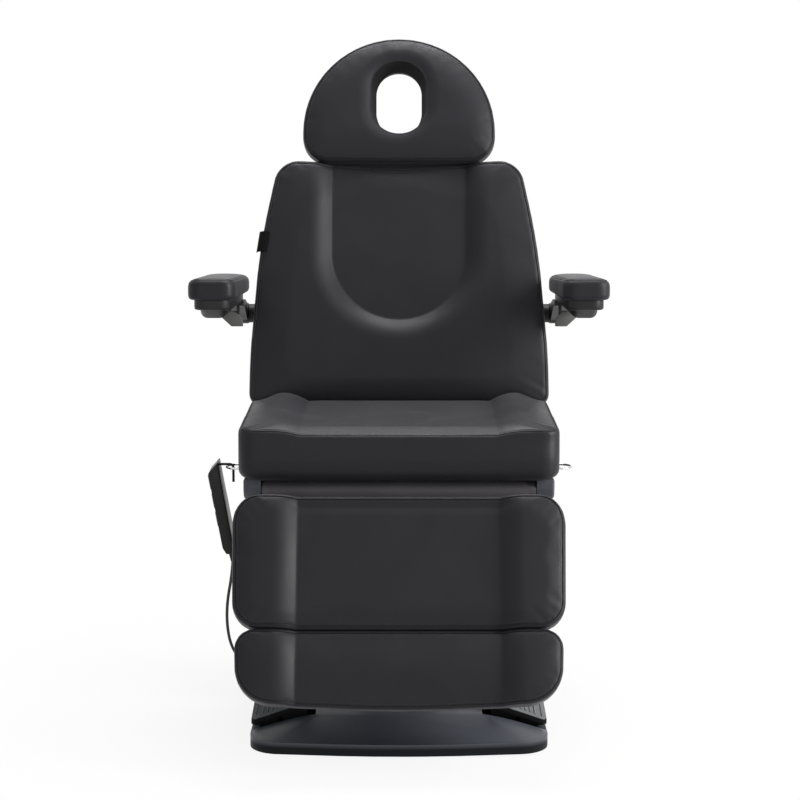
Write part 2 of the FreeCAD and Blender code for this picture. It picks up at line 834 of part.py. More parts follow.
def hinge_roll():
    """Covered roll over the axle, open below where the arms leave it."""
    def ring_point(radius, share):
        turn = math.radians(roll_start_deg + roll_sweep_deg * share)
        return V(-roll_half, leg_axis_y - radius * math.cos(turn), leg_axis_z + radius * math.sin(turn))

    def bow(radius, shares):
        return Part.Arc(*[ring_point(radius, share) for share in shares]).toShape()
    inner = leg_axle_radius + soft_gap
    edges = [bow(roll_radius, (0, 0.25, 0.5)), bow(roll_radius, (0.5, 0.75, 1)),
             Part.LineSegment(ring_point(roll_radius, 1), ring_point(inner, 1)).toShape(),
             bow(inner, (1, 0.75, 0.5)), bow(inner, (0.5, 0.25, 0)),
             Part.LineSegment(ring_point(inner, 0), ring_point(roll_radius, 0)).toShape()]
    return lowered(Part.Face(Part.Wire(edges)).extrude(V(roll_half + roll_half, 0, 0)))


def foot_guides():
    guides = []
    z = leg_board_floor - guide_radius
    for side in (-1, 1):
        sleeve = rod_along_y((guide_rear_y, guide_front_y), side * rod_x, z, guide_radius)
        bore = rod_along_y((guide_rear_y, guide_front_y), side * rod_x, z, rod_radius + running_gap)
        guides.append(lowered(sleeve.cut(bore)))
    return guides


# Foot rest

foot_rear_y = leg_front_y - foot_rest_gap
foot_front_y = foot_rear_y - foot_rest_length


def foot_corners():
    shoulder = foot_front_y + foot_tip_bow
    return [(-foot_front_half_width, shoulder, foot_front_radius), (0, foot_front_y, foot_bow_radius),
            (foot_front_half_width, shoulder, foot_front_radius),
            (foot_rear_half_width, foot_rear_y, foot_rear_radius),
            (-foot_rear_half_width, foot_rear_y, foot_rear_radius)]


def foot_cushion():
    cushion = padded(foot_corners(), leg_cushion_floor + soft_gap, leg_surface, leg_side_insets, leg_side_shares)
    panel = rectangle((-leg_trough_half, leg_trough_half),
                      (foot_front_y + foot_tip_bow + foot_trough_end, foot_rear_y - foot_trough_end),
                      leg_trough_corner)
    trough = hollowed(panel, leg_surface - leg_trough_depth, leg_trough_slope, leg_trough_depth)
    return lowered(cushion.cut(trough))


def foot_board():
    return lowered(plate(offset_corners(foot_corners(), leg_board_end_inset), leg_board_floor, leg_cushion_floor))


def foot_rods():
    rods = []
    z = leg_board_floor - guide_radius
    for side in (-1, 1):
        rod = rod_along_y((rod_rear_y, rod_saddle_front_y), side * rod_x, z, rod_radius)
        saddle = block((side * rod_x - rod_saddle_half, side * rod_x + rod_saddle_half),
                       (rod_saddle_rear_y, rod_saddle_front_y), (z, leg_board_floor))
        rods.append(lowered(rod.fuse(saddle)))
    return rods


# Back rest, across X, along v and ahead p

back_cushion_floor = back_surface - back_cushion_thickness
back_board_floor = back_cushion_floor - board_thickness
back_frame_floor = back_board_floor - tube_side


def back_corners():
    return [(-back_foot_half_width, back_foot_v, back_foot_radius),
            (back_foot_half_width, back_foot_v, back_foot_radius),
            (back_foot_half_width, back_waist_v, back_waist_radius),
            (back_shoulder_half_width, back_shoulder_v, back_shoulder_radius),
            (back_top_half_width, back_top_v, back_top_radius), (0, back_top_v - back_top_dip, back_dip_radius),
            (-back_top_half_width, back_top_v, back_top_radius),
            (-back_shoulder_half_width, back_shoulder_v, back_shoulder_radius),
            (-back_foot_half_width, back_waist_v, back_waist_radius)]


def back_cushion():
    cushion = padded(back_corners(), back_cushion_floor + soft_gap, back_surface,
                     back_side_insets, back_side_shares)
    top = back_top_v + back_top_half_width
    round_end = back_dish_half * face_round_share
    panel = [(-back_dish_half, back_dish_foot_v, round_end), (back_dish_half, back_dish_foot_v, round_end),
             (back_dish_half, top, 0), (-back_dish_half, top, 0)]
    dish = hollowed(panel, back_surface - back_dish_depth, back_dish_slope, back_dish_depth)
    return raised(cushion.cut(dish))


def back_board():
    return raised(plate(offset_corners(back_corners(), board_inset), back_board_floor, back_cushion_floor))


def back_uprights():
    """Upright tubes, each with the plate welded outside that reaches down to the back pivot."""
    half = tube_side / 2
    uprights = []
    for side in (-1, 1):
        tube = hollow_tube((side * upright_x - half, side * upright_x + half), (upright_foot_v, upright_top_v),
                           (back_frame_floor, back_board_floor), frame_wall, 1)
        inner = upright_x + half
        x = (side * inner, side * (inner + back_lug_thickness))
        eye = rod_along_x(x, 0, 0, back_lug_eye_radius)
        web = side_prism([(0, back_lug_eye_radius), (-back_lug_eye_radius, 0), (0, back_board_floor),
                          (upright_foot_v, back_frame_floor), (back_lug_reach_v, back_frame_floor),
                          (back_lug_reach_v, back_board_floor),
                          (back_lug_eye_radius, back_board_floor), (back_lug_eye_radius, 0)], x)
        lug = eye.fuse(web).cut(rod_along_x(x, 0, 0, pin_radius))
        uprights.append(raised(tube.fuse(lug)))
    return uprights


def upper_cross_tube():
    """Upper cross tube with the two lugs of the head hinge welded on."""
    reach = upright_x + tube_side / 2
    tube = hollow_tube((-reach, reach), (upright_top_v, upright_top_v + tube_side),
                       (back_frame_floor, back_board_floor), frame_wall, 0)
    for side in (-1, 1):
        x = (side * head_lug_inner_x, side * (head_lug_inner_x + head_lug_thickness))
        lug = block(x, (upright_top_v + tube_side, head_lug_top_v), (back_frame_floor, back_board_floor))
        tube = tube.fuse(lug.cut(rod_along_x(x, head_axis_v, head_axis_p, head_pin_radius)))
    return raised(tube)


def lower_cross_tube():
    """Lower cross tube with the crank that the back actuator pulls."""
    reach = upright_x - tube_side / 2
    tube = hollow_tube((-reach, reach), (lower_cross_v, lower_cross_v + tube_side),
                       (back_frame_floor, back_board_floor), frame_wall, 0)
    x = (-back_crank_x - crank_thickness / 2, -back_crank_x + crank_thickness / 2)
    root_v, root_p = lower_cross_v, back_frame_floor + tube_side / 2
    along = V(0, back_crank_v - root_v, back_crank_p - root_p)
    across = V(0, -along.z, along.y).normalize() * crank_half_width
    ends = [V(0, root_v, root_p), V(0, back_crank_v, back_crank_p)]
    ring = [ends[0] - across, ends[1] - across, ends[1] + across, ends[0] + across]
    arm = side_prism([(p.y, p.z) for p in ring], x)
    arm = arm.cut(block((-reach, reach), (lower_cross_v, lower_cross_v + tube_side),
                        (back_frame_floor, back_board_floor)))
    eye = rod_along_x(x, back_crank_v, back_crank_p, crank_half_width)
    reach_x = act_eye_thickness / 2 + crank_thickness
    pin = rod_along_x((-back_crank_x, -back_crank_x + reach_x), back_crank_v, back_crank_p, crank_pin_radius)
    return raised(tube.fuse([arm, eye, pin]))


def hinge_pins():
    """The two back pivot pins and the long pin of the head hinge."""
    inner = upright_x + tube_side / 2
    pins = [raised(rod_along_x((side * inner, side * side_plate_outer_x), 0, 0, pin_radius)) for side in (-1, 1)]
    pins.append(raised(rod_along_x((-head_pin_half, head_pin_half), head_axis_v, head_axis_p, head_pin_radius)))
    return pins


def arm_posts():
    """Stub posts from the uprights out to the armrest pivots."""
    posts = []
    inner = upright_x + tube_side / 2
    for side in (-1, 1):
        post = rod_along_x((side * inner, side * post_end_x), post_v, post_p, post_radius)
        stub = rod_along_x((side * post_end_x, side * (post_end_x + post_stub_length)), post_v, post_p,
                           post_stub_radius)
        posts.append(raised(post.fuse(stub)))
    return posts


# Head rest

def head_corners():
    top = head_foot_v + head_length
    return [(-head_half_width, head_foot_v, head_foot_radius), (head_half_width, head_foot_v, head_foot_radius),
            (head_half_width, top, head_top_radius), (-head_half_width, top, head_top_radius)]


def face_outline(half_width, half_length):
    return rectangle((-half_width, half_width), (face_centre_v - half_length, face_centre_v + half_length),
                     half_width * face_round_share)


def head_cushion():
    cushion = padded(head_corners(), back_cushion_floor + soft_gap, back_surface,
                     head_side_insets, head_side_shares)
    mouth = outline_wire(face_outline(face_mouth_half_width, face_mouth_half_length), back_surface + soft_gap)
    through = outline_wire(face_outline(face_through_half_width, face_through_half_length), back_cushion_floor)
    return raised(cushion.cut(Part.makeLoft([through, mouth], True, True)))


def head_board():
    board = plate(offset_corners(head_corners(), board_inset), back_board_floor, back_cushion_floor)
    return raised(board.cut(plate(face_outline(face_through_half_width, face_through_half_length),
                                  back_board_floor, back_cushion_floor)))


def head_arms():
    arms = []
    for side in (-1, 1):
        x = (side * head_arm_x - head_arm_half, side * head_arm_x + head_arm_half)
        eye = rod_along_x(x, head_axis_v, head_axis_p, head_arm_radius)
        bar = block(x, (head_axis_v, head_arm_top_v), (head_axis_p, head_axis_p + head_arm_radius))
        seat = block(x, (head_foot_v + board_inset, head_arm_top_v), (head_axis_p, back_board_floor))
        bore = rod_along_x(x, head_axis_v, head_axis_p, head_pin_radius + running_gap)
        arms.append(raised(eye.fuse([bar, seat]).cut(bore).removeSplitter()))
    return arms


# Armrests

def arm_pad(side):
    centre = side * arm_centre_x
    corners = rectangle((centre - arm_pad_half_width, centre + arm_pad_half_width),
                        (arm_pad_front, arm_pad_rear), arm_pad_corner_radius)
    return on_arm(padded(corners, arm_pad_bottom + soft_gap, arm_pad_bottom + arm_pad_thickness,
                         arm_side_insets, arm_side_shares))


def arm_shell(side):
    """Moulded casing under the pad, from its rounded nose back to the hub on the post."""
    x = (side * arm_shell_inner_x, side * arm_shell_outer_x)
    hub_x = (side * (post_end_x + arm_hub_gap), side * arm_bracket_outer_x)
    low = arm_pad_bottom - arm_shell_front_depth
    body = side_prism([(arm_shell_front, arm_pad_bottom), (arm_shell_front + arm_shell_nose, low),
                       (arm_shell_mid_y, arm_shell_mid_z), (arm_shell_top_rear, arm_pad_bottom)], x)
    long_edges = [e for e in body.Edges if e.BoundBox.XLength < arm_shell_round
                  and e.BoundBox.YLength > arm_hub_radius and e.BoundBox.ZMin < arm_pad_bottom - arm_shell_round]
    body = body.makeFillet(arm_shell_round, long_edges)
    bracket = side_prism([(arm_shell_mid_y - arm_bracket_reach, arm_pad_bottom),
                          (arm_shell_mid_y - arm_bracket_reach, arm_shell_mid_z + lever_lug),
                          (arm_shell_mid_y, arm_shell_mid_z), (0, -arm_hub_radius), (0, arm_hub_radius),
                          (arm_shell_top_rear, arm_pad_bottom)],
                         (side * arm_bracket_inner_x, side * arm_bracket_outer_x))
    hub = rod_along_x(hub_x, 0, 0, arm_hub_radius)
    shell = body.fuse([bracket, hub])
    for lug in lever_lugs(side):
        shell = shell.fuse(lug)
    shell = shell.cut(rod_along_x((side * post_end_x, side * (post_end_x + post_stub_length + arm_hub_gap)),
                                  0, 0, post_stub_radius + running_gap))
    shell = shell.cut(rod_along_x((side * post_end_x, side * base_half_length * 2), lever_y, lever_z,
                                  lever_pin_radius + running_gap))
    return on_arm(shell)


lever_lug_inner_x = arm_shell_inner_x
lever_lug_outer_x = lever_outer_x


def lever_lugs(side):
    """Two small ears under the casing that hold the lever's pin."""
    ears = []
    for inner in (lever_lug_inner_x, lever_lug_outer_x):
        x = (side * inner, side * (inner + lever_lug))
        ears.append(rod_along_x(x, lever_y, lever_z, lever_barrel_radius).fuse(
            block(x, (lever_y - lever_barrel_radius, lever_y + lever_barrel_radius),
                  (lever_z, arm_shell_mid_z + lever_lug))))
    return ears


def arm_lever(side):
    """Paddle that frees the armrest's tilt, hung on a pin between the ears."""
    near = lever_lug_inner_x + lever_lug + lever_gap
    far = lever_lug_outer_x - lever_gap
    barrel = rod_along_x((side * near, side * far), lever_y, lever_z, lever_barrel_radius)
    pin = rod_along_x((side * lever_lug_inner_x, side * (lever_lug_outer_x + lever_lug)), lever_y, lever_z,
                      lever_pin_radius)
    bottom = lever_z - lever_drop
    half = lever_thickness / 2
    tip = near + (far - near) * lever_tip_share
    ring = [(near, lever_z), (far, lever_z), (far, lever_z - lever_drop / 3), (tip, bottom),
            (lever_inner_x, bottom), (lever_inner_x, lever_z - lever_drop / 3), (near, lever_z - lever_drop / 3)]
    wire = Part.makePolygon([V(side * x, lever_y - half, z) for x, z in ring + ring[:1]])
    paddle = Part.Face(wire).extrude(V(0, lever_thickness, 0))
    return on_arm(paddle.fuse([barrel, pin]).removeSplitter())


# Actuators

def actuator(x, z, y, motor_side, mount):
    """Spindle tube with its motor alongside and a clamp up or down to the carriage plate."""
    tube = rod_along_y(y, x, z, act_tube_radius)
    motor = rod_along_y((y[0], y[0] + math.copysign(act_motor_length, y[1] - y[0])),
                        x + motor_side * act_motor_offset, z, act_motor_radius)
    clamp = block((x - act_tube_radius, x + act_tube_radius),
                  (-act_clamp_length / 2, act_clamp_length / 2), (z, mount))
    return tube.fuse([motor, clamp])


def actuator_rod(x, z, y, eye_y, slot):
    """Rod with an upright slot at its eye, so the crank's pin can rise and fall."""
    rod = rod_along_y(y, x, z, act_rod_radius)
    half = act_eye_thickness / 2 - act_eye_gap
    outer = slot + act_eye_radius
    tongue = block((x - half, x + half), (eye_y - act_eye_radius, eye_y + act_eye_radius), (z - outer, z + outer))
    hole = crank_pin_radius + act_slot_gap
    cut = block((x - half, x + half), (eye_y - hole, eye_y + hole), (z - slot - hole, z + slot + hole))
    return rod.fuse(tongue).cut(cut)


def crank_reach(radius):
    return radius * math.sin(math.radians(leg_drop_deg / 2))


leg_eye_x = leg_crank_x - crank_thickness / 2 - act_eye_thickness / 2
leg_eye_y = leg_axis_y + crank_reach(leg_crank_radius)
back_turn = math.radians(back_rise_deg)
back_eye_x = -back_crank_x + crank_thickness / 2 + act_eye_thickness / 2
back_eye_y = back_axis_y + back_crank_v * math.cos(back_turn) - back_crank_p * math.sin(back_turn)


def rod_bore(x, z, y):
    return rod_along_y(y, x, z, act_rod_radius + running_gap)


def leg_actuator():
    body = actuator(leg_eye_x, leg_act_z, (leg_act_rear_y, leg_act_front_y), 1, carriage_bottom)
    return body.cut(rod_bore(leg_eye_x, leg_act_z, (leg_act_front_y, leg_rod_rear_y + overrun)))


def leg_actuator_rod():
    return actuator_rod(leg_eye_x, leg_act_z, (leg_rod_rear_y, leg_eye_y + act_eye_radius), leg_eye_y,
                        leg_act_slot)


def back_actuator():
    body = actuator(back_eye_x, back_act_z, (back_act_front_y, back_act_rear_y), -1, carriage_top)
    travel = 2 * math.hypot(back_crank_v, back_crank_p)
    return body.cut(rod_bore(back_eye_x, back_act_z, (max(back_act_front_y + act_tube_radius,
                                                          back_rod_front_y - travel), back_act_rear_y)))


def back_actuator_rod():
    return actuator_rod(back_eye_x, back_act_z, (back_rod_front_y, back_eye_y - act_eye_radius), back_eye_y,
                        back_act_slot)


# Control box, gland and lead

def control_box():
    solid = block((-box_outer_x, -box_inner_x), (box_front_y, box_rear_y), (box_bottom, carriage_bottom))
    upright = [e for e in solid.Edges if e.BoundBox.ZLength > box_corner_radius]
    return solid.makeFillet(box_corner_radius, upright)


def cord_gland():
    return rod_along_z((box_bottom - gland_length, box_bottom), gland_x, gland_y, gland_radius)


def boot_tip():
    """Where the lead leaves the hand control's boot."""
    turn = math.radians(hand_tilt_deg)
    away = V(math.sin(turn), 0, -math.cos(turn))
    return V(hand_top_x, hand_top_y, hand_top_z) + away * (hand_length + boot_length + lead_gap)


def handset_cord():
    start = boot_tip()
    end = V(gland_x, gland_y, box_bottom - gland_length)
    points = [start] + list(lead_points) + [end]
    count = len(points)
    edges, last = [], start
    for i in range(1, count - 1):
        a, b = points[i] - points[i - 1], points[i + 1] - points[i]
        turn = a.getAngle(b)
        trim = 0.45 * min(a.Length, b.Length)
        radius = trim / math.tan(turn / 2)
        enter = points[i] - V(a).normalize() * trim
        leave = points[i] + V(b).normalize() * trim
        toward = (leave - points[i]) + (enter - points[i])
        inward = V(toward).normalize()
        middle = points[i] + inward * (radius / math.cos(turn / 2) - radius)
        edges.append(Part.LineSegment(last, enter).toShape())
        edges.append(Part.Arc(enter, middle, leave).toShape())
        last = leave
        print("lead bend", i, "radius", round(radius, 1), "run", round(a.Length, 1),
              "turn", round(math.degrees(turn), 1))
    edges.append(Part.LineSegment(last, end).toShape())
    path = Part.Wire(edges)
    length = path.Length
    first = points[1] - points[0]
    ring = Part.Wire(Part.makeCircle(cord_radius, start, first))
    tube = path.makePipeShell([ring], True, False)
    print("lead length", round(length, 1), "volume share",
          round(tube.Volume / (math.pi * cord_radius ** 2 * length), 4))
    return tube


# Hand control, drawn with its top at the origin, keys on the outer face

def handset_case():
    half = hand_thickness / 2
    outline = rectangle((-hand_width / 2, hand_width / 2), (-hand_length, 0), hand_corner_radius)
    slab = plate(outline, -half, half)
    rims = [e for e in slab.Edges if e.BoundBox.ZLength < hand_edge_radius]
    slab = slab.makeFillet(hand_edge_radius, rims)
    # the slab is drawn flat, then stood up with its width along Y and its thickness along X
    slab.rotate(ORIGIN, X_AXIS, 90)
    slab.rotate(ORIGIN, Z_AXIS, 90)
    boot = Part.makeCone(boot_radius, boot_tip_radius, boot_length + hand_edge_radius,
                         V(0, 0, hand_edge_radius - hand_length), V(0, 0, -1))
    case = slab.fuse(boot)
    for i in range(3):
        case = case.cut(key_block(i, key_gap, key_pocket_depth, overrun)).cut(key_pin(i, running_gap))
    return in_hand(case)


def key_pin(i, grow):
    """Trunnions that a rocker key turns on, or with a clearance the hole for them."""
    reach = key_width / 2 + key_gap + key_pin_reach + grow
    return rod_along_y((-reach, reach), key_axis_depth - hand_thickness / 2, -key_first - i * key_pitch,
                       key_pin_radius + grow)


def key_block(i, grow, depth, proud):
    """Block of one key's outline from a depth under the outer face to a height above it."""
    centre = -key_first - i * key_pitch
    face = -hand_thickness / 2
    return block((face - proud, face + depth), (-key_width / 2 - grow, key_width / 2 + grow),
                 (centre - key_length / 2 - grow, centre + key_length / 2 + grow))


def handset_key(i):
    key = key_block(i, 0, key_depth, key_proud)
    face = -hand_thickness / 2 - key_proud
    rim = [e for e in key.Edges if e.BoundBox.XMax < face + key_edge_radius / 2]
    return in_hand(key.makeFillet(key_edge_radius, rim).fuse(key_pin(i, 0)))


def handset_hook():
    """Bent wire on the hand control's back that drops over the loop's far bow."""
    tilt = math.radians(hand_tilt_deg)
    over = loop_z + loop_wire_radius + soft_gap + hook_wire_radius
    down = (hand_top_z - over) / math.cos(tilt)
    face_x = hand_top_x + down * math.sin(tilt) + hand_thickness / 2 / math.cos(tilt)
    bend = hook_wire_radius * 3
    diagonal = bend * (1 - math.sqrt(0.5))
    y = hand_top_y
    path = Part.Wire([
        Part.LineSegment(V(face_x, y, over), V(hook_inner_x - bend, y, over)).toShape(),
        Part.Arc(V(hook_inner_x - bend, y, over), V(hook_inner_x - diagonal, y, over - diagonal),
                 V(hook_inner_x, y, over - bend)).toShape(),
        Part.LineSegment(V(hook_inner_x, y, over - bend), V(hook_inner_x, y, over - hook_drop)).toShape()])
    ring = Part.Wire(Part.makeCircle(hook_wire_radius, V(face_x, y, over), X_AXIS))
    wire = path.makePipeShell([ring], True, False)
    # the root is carried on into the case's back face, which is sloped, and trimmed there
    root = rod_along_x((face_x - hook_wire_radius, face_x), y, over, hook_wire_radius)
    return wire.fuse(root).cut(handset_case()).removeSplitter()


os.makedirs("parts", exist_ok=True)


def save(name, made):
    shape = Part.makeCompound(made) if isinstance(made, list) else made
    shape.exportStep("parts/" + name + ".step")
    print(name, "valid", shape.isValid(), "solids", len(shape.Solids), "volume", round(shape.Volume))


save("base_plate", base_plate())
save("base_feet", base_feet())
save("base_hood", base_hood())
save("power_inlet", power_inlet())
save("pedal_pins", pedal_pins())
save("pedal_brackets", pedal_brackets())
save("lift_outer_tube", column_tube(tube_half, plate_top, outer_tube_top))
save("lift_mid_tube", column_tube(mid_half, mid_tube_bottom, mid_tube_top))
save("lift_inner_tube", column_tube(inner_half, inner_tube_bottom, carriage_bottom))
save("lift_motor", lift_motor())
save("lift_rod", lift_rod())
save("carriage_plate", carriage_plate())
save("seat_rails", seat_rails())
save("side_plates", side_plates())
save("hinge_bushes", hinge_bushes())
save("seat_board", seat_board())
save("seat_cushion", seat_cushion())
save("hook_loops", hook_loops())
save("leg_cushion", leg_cushion())
save("leg_board", leg_board())
save("leg_axle", leg_axle())
save("leg_arms", leg_arms())
save("hinge_roll", hinge_roll())
save("foot_guides", foot_guides())
save("foot_cushion", foot_cushion())
save("foot_board", foot_board())
save("foot_rods", foot_rods())
save("back_cushion", back_cushion())
save("back_board", back_board())
save("back_uprights", back_uprights())
save("upper_cross_tube", upper_cross_tube())
save("lower_cross_tube", lower_cross_tube())
save("hinge_pins", hinge_pins())
save("arm_posts", arm_posts())
save("head_cushion", head_cushion())
save("head_board", head_board())
save("head_arms", head_arms())
save("leg_actuator", leg_actuator())
save("leg_actuator_rod", leg_actuator_rod())
save("back_actuator", back_actuator())
save("back_actuator_rod", back_actuator_rod())
save("control_box", control_box())
save("cord_gland", cord_gland())
save("handset_cord", handset_cord())
save("handset_case", handset_case())
save("handset_hook", handset_hook())
for number, name in enumerate(("height_key", "back_key", "leg_key")):
    save(name, handset_key(number))
for side, word in ((-1, "left"), (1, "right")):
    save("pedal_" + word, pedal(side))
    save("side_cover_" + word, side_cover(side))
    save("arm_pad_" + word, arm_pad(side))
    save("arm_shell_" + word, arm_shell(side))
    save("arm_lever_" + word, arm_lever(side))
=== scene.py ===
import bpy
import bmesh
import math
from mathutils import Matrix, Vector, noise
from mathutils.bvhtree import BVHTree


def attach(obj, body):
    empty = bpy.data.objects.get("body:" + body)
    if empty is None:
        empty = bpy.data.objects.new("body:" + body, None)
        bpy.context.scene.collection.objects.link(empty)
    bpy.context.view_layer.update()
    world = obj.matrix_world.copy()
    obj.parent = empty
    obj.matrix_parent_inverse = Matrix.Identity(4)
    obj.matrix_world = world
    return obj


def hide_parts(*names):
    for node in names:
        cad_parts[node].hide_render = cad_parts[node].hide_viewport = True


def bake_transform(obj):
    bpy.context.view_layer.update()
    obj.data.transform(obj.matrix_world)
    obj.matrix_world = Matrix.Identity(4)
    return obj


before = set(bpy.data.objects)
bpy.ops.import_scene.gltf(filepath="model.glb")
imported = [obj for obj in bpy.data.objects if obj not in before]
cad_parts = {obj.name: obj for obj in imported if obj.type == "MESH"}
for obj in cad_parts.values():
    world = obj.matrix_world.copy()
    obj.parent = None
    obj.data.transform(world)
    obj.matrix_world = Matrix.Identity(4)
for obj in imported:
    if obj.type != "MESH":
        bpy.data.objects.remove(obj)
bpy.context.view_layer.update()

scene = bpy.context.scene
scene.view_settings.view_transform = "Standard"

# Studio: a plain pale floor that keeps the chair's shadow and a white surround.
# A tall softbox stands to the right, a weak fill low in front and one box overhead.

def linear(red, green, blue):
    """A colour read as 0 to 255 on a screen, as the light values that shaders take."""
    def one(c):
        c /= 255
        return c / 12.92 if c <= 0.04045 else ((c + 0.055) / 1.055) ** 2.4
    return one(red), one(green), one(blue), 1.0


def wired(tree, kind, **sockets):
    """A node of that kind, its named inputs set to values or joined to other nodes' outputs."""
    node = tree.nodes.new(kind)
    for name, value in sockets.items():
        socket = node.inputs[int(name[1:])] if name[0] == "_" else node.inputs[name.replace("_", " ")]
        if isinstance(value, bpy.types.NodeSocket):
            tree.links.new(value, socket)
        else:
            socket.default_value = value
    return node


def finish_named(name):
    """A new material with its tree, its shader and its Object coordinates."""
    made = bpy.data.materials.new(name)
    made.use_nodes = True
    tree = made.node_tree
    shader = tree.nodes["Principled BSDF"]
    place = tree.nodes.new("ShaderNodeTexCoord").outputs["Object"]
    return made, tree, shader, place


def placed(name, data):
    """A new object of the scene that shows the data."""
    piece = bpy.data.objects.new(name, data)
    scene.collection.objects.link(piece)
    return piece


def meshed(name, made):
    """The bmesh as a new object of the scene."""
    mesh = bpy.data.meshes.new(name)
    made.to_mesh(mesh)
    made.free()
    return placed(name, mesh)


def lamp(name, place, target, size, power, colour):
    """A soft rectangular light at the place, turned to the target."""
    light = bpy.data.lights.new(name, "AREA")
    light.shape = "RECTANGLE"
    light.size, light.size_y = size
    light.energy = power
    light.color = colour
    holder = placed(name, light)
    holder.location = place
    holder.rotation_euler = (Vector(target) - Vector(place)).to_track_quat("-Z", "Y").to_euler()


lamp("softbox_right", (3.0, -1.2, 1.7), (0, 0, 0.75), (0.9, 2.2), 148, (1.0, 0.985, 0.97))
lamp("fill_front", (-1.2, -3.8, 0.7), (0, 0, 0.4), (2.0, 1.0), 7, (0.95, 0.97, 1.0))
lamp("overhead", (0.1, 0.6, 3.0), (0, 0.0, 0.6), (1.8, 1.0), 80, (1.0, 1.0, 1.0))

surround = bpy.data.worlds.new("studio")
scene.world = surround
surround.use_nodes = True
sky = surround.node_tree
rays = sky.nodes.new("ShaderNodeLightPath")
mirrored = wired(sky, "ShaderNodeMath", _0=rays.outputs["Is Glossy Ray"], _1=rays.outputs["Is Transmission Ray"])
mirrored.operation = "MAXIMUM"
shown = wired(sky, "ShaderNodeMath", _0=rays.outputs["Is Camera Ray"], _1=mirrored.outputs[0])
shown.operation = "MAXIMUM"
level = wired(sky, "ShaderNodeMapRange", Value=shown.outputs[0], To_Min=0.105, To_Max=1.0)
backdrop = sky.nodes["Background"]
backdrop.inputs["Color"].default_value = (1, 1, 1, 1)
sky.links.new(level.outputs[0], backdrop.inputs["Strength"])

sheet = bmesh.new()
bmesh.ops.create_grid(sheet, x_segments=1, y_segments=1, size=14.0)
floor = meshed("studio_floor", sheet)
pale, pale_tree, pale_shader, _ = finish_named("pale_floor")
pale_shader.inputs["Base Color"].default_value = (0.83, 0.83, 0.83, 1)
pale_shader.inputs["Roughness"].default_value = 0.9
pale_shader.inputs["Specular IOR Level"].default_value = 0.1
glow = wired(pale_tree, "ShaderNodeEmission", Color=(1, 1, 1, 1), Strength=1.0)
over = wired(pale_tree, "ShaderNodeNewGeometry")
away = wired(pale_tree, "ShaderNodeVectorMath", _0=over.outputs["Position"])
away.operation = "LENGTH"
fade = wired(pale_tree, "ShaderNodeMapRange", Value=away.outputs["Value"], From_Min=0.3, From_Max=1.0,
             To_Min=0.88, To_Max=1.0)
lit = wired(pale_tree, "ShaderNodeMixShader", Fac=fade.outputs[0], _1=pale_shader.outputs[0], _2=glow.outputs[0])
pale_tree.links.new(lit.outputs[0], pale_tree.nodes["Material Output"].inputs["Surface"])
floor.data.materials.append(pale)

lens = bpy.data.cameras.new("camera")
lens.lens, lens.sensor_width = 96.26, 36.0
camera = placed("camera", lens)
camera.location = (0.002, -4.261, 1.300)
camera.rotation_euler = (math.radians(81), 0, 0)
scene.camera = camera

# Hand control's lead: a 6 mm soft black cable from the hand control's boot, hanging
# in one slack loop beside the leg rest and up to the gland of the box under the seat.

lead_route = (
    (-0.33458, -0.060, 0.30580), (-0.3365, -0.060, 0.278), (-0.3470, -0.0585, 0.223), (-0.3485, -0.055, 0.174),
    (-0.3420, -0.046, 0.128), (-0.325, -0.027, 0.093), (-0.300, 0.005, 0.078), (-0.276, 0.044, 0.076),
    (-0.255, 0.087, 0.082), (-0.238, 0.128, 0.102), (-0.226, 0.157, 0.140), (-0.217, 0.168, 0.188),
    (-0.2105, 0.161, 0.236), (-0.2055, 0.138, 0.282), (-0.203, 0.104, 0.326), (-0.203, 0.104, 0.372))
lead_diameter = 0.006
lead_curve = bpy.data.curves.new("lead_run", "CURVE")
lead_curve.dimensions = "3D"
lead_curve.resolution_u = 12
run = lead_curve.splines.new("NURBS")
run.points.add(len(lead_route) - 1)
for point, place in zip(run.points, lead_route):
    point.co = (*place, 1)
run.order_u = 3
run.use_endpoint_u = True
lead_line = placed("lead_line", lead_curve)


def as_mesh(drawn):
    """What an object draws, as a mesh of its own."""
    bpy.context.view_layer.update()
    return bpy.data.meshes.new_from_object(drawn.evaluated_get(bpy.context.evaluated_depsgraph_get()))


def smooth(piece):
    """Shades every face of the piece smooth."""
    for face in piece.data.polygons:
        face.use_smooth = True


lead_path = [v.co.copy() for v in as_mesh(lead_line).vertices]
lead_curve.bevel_depth = lead_diameter / 2
lead_curve.bevel_resolution = 4
lead_curve.use_fill_caps = True
hand_lead = placed("hand_lead", as_mesh(lead_line))
bpy.data.objects.remove(lead_line)
smooth(hand_lead)

lead_sheath, tree, shader, place = finish_named("lead_sheath")
mottle = wired(tree, "ShaderNodeTexNoise", Vector=place, Scale=160.0, Detail=3.0)
sheath_tone = wired(tree, "ShaderNodeMapRange", Value=mottle.outputs["Fac"], To_Min=0.42, To_Max=0.6)
tree.links.new(sheath_tone.outputs[0], shader.inputs["Roughness"])
shader.inputs["Base Color"].default_value = linear(24, 24, 26)
matt = wired(tree, "ShaderNodeBump", Strength=0.15, Distance=0.0002, Height=mottle.outputs["Fac"])
tree.links.new(matt.outputs[0], shader.inputs["Normal"])
hand_lead.data.materials.append(lead_sheath)
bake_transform(hand_lead)
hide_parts("handset_cord")

# Base: a steel plate on rubber feet under a moulded hood, dark blue-grey with a fine
# moulding grain, its top dished up to a flat deck round the lift column.

def toned(colour, share):
    """The colour made darker or lighter by the share."""
    return tuple(c * share for c in colour[:3]) + (1,)


def mixed(tree, share, first, second):
    """The socket of a colour that lies between two others."""
    mix = wired(tree, "ShaderNodeMix", _0=share, _6=first, _7=second)
    mix.data_type = "RGBA"
    return mix.outputs[2]


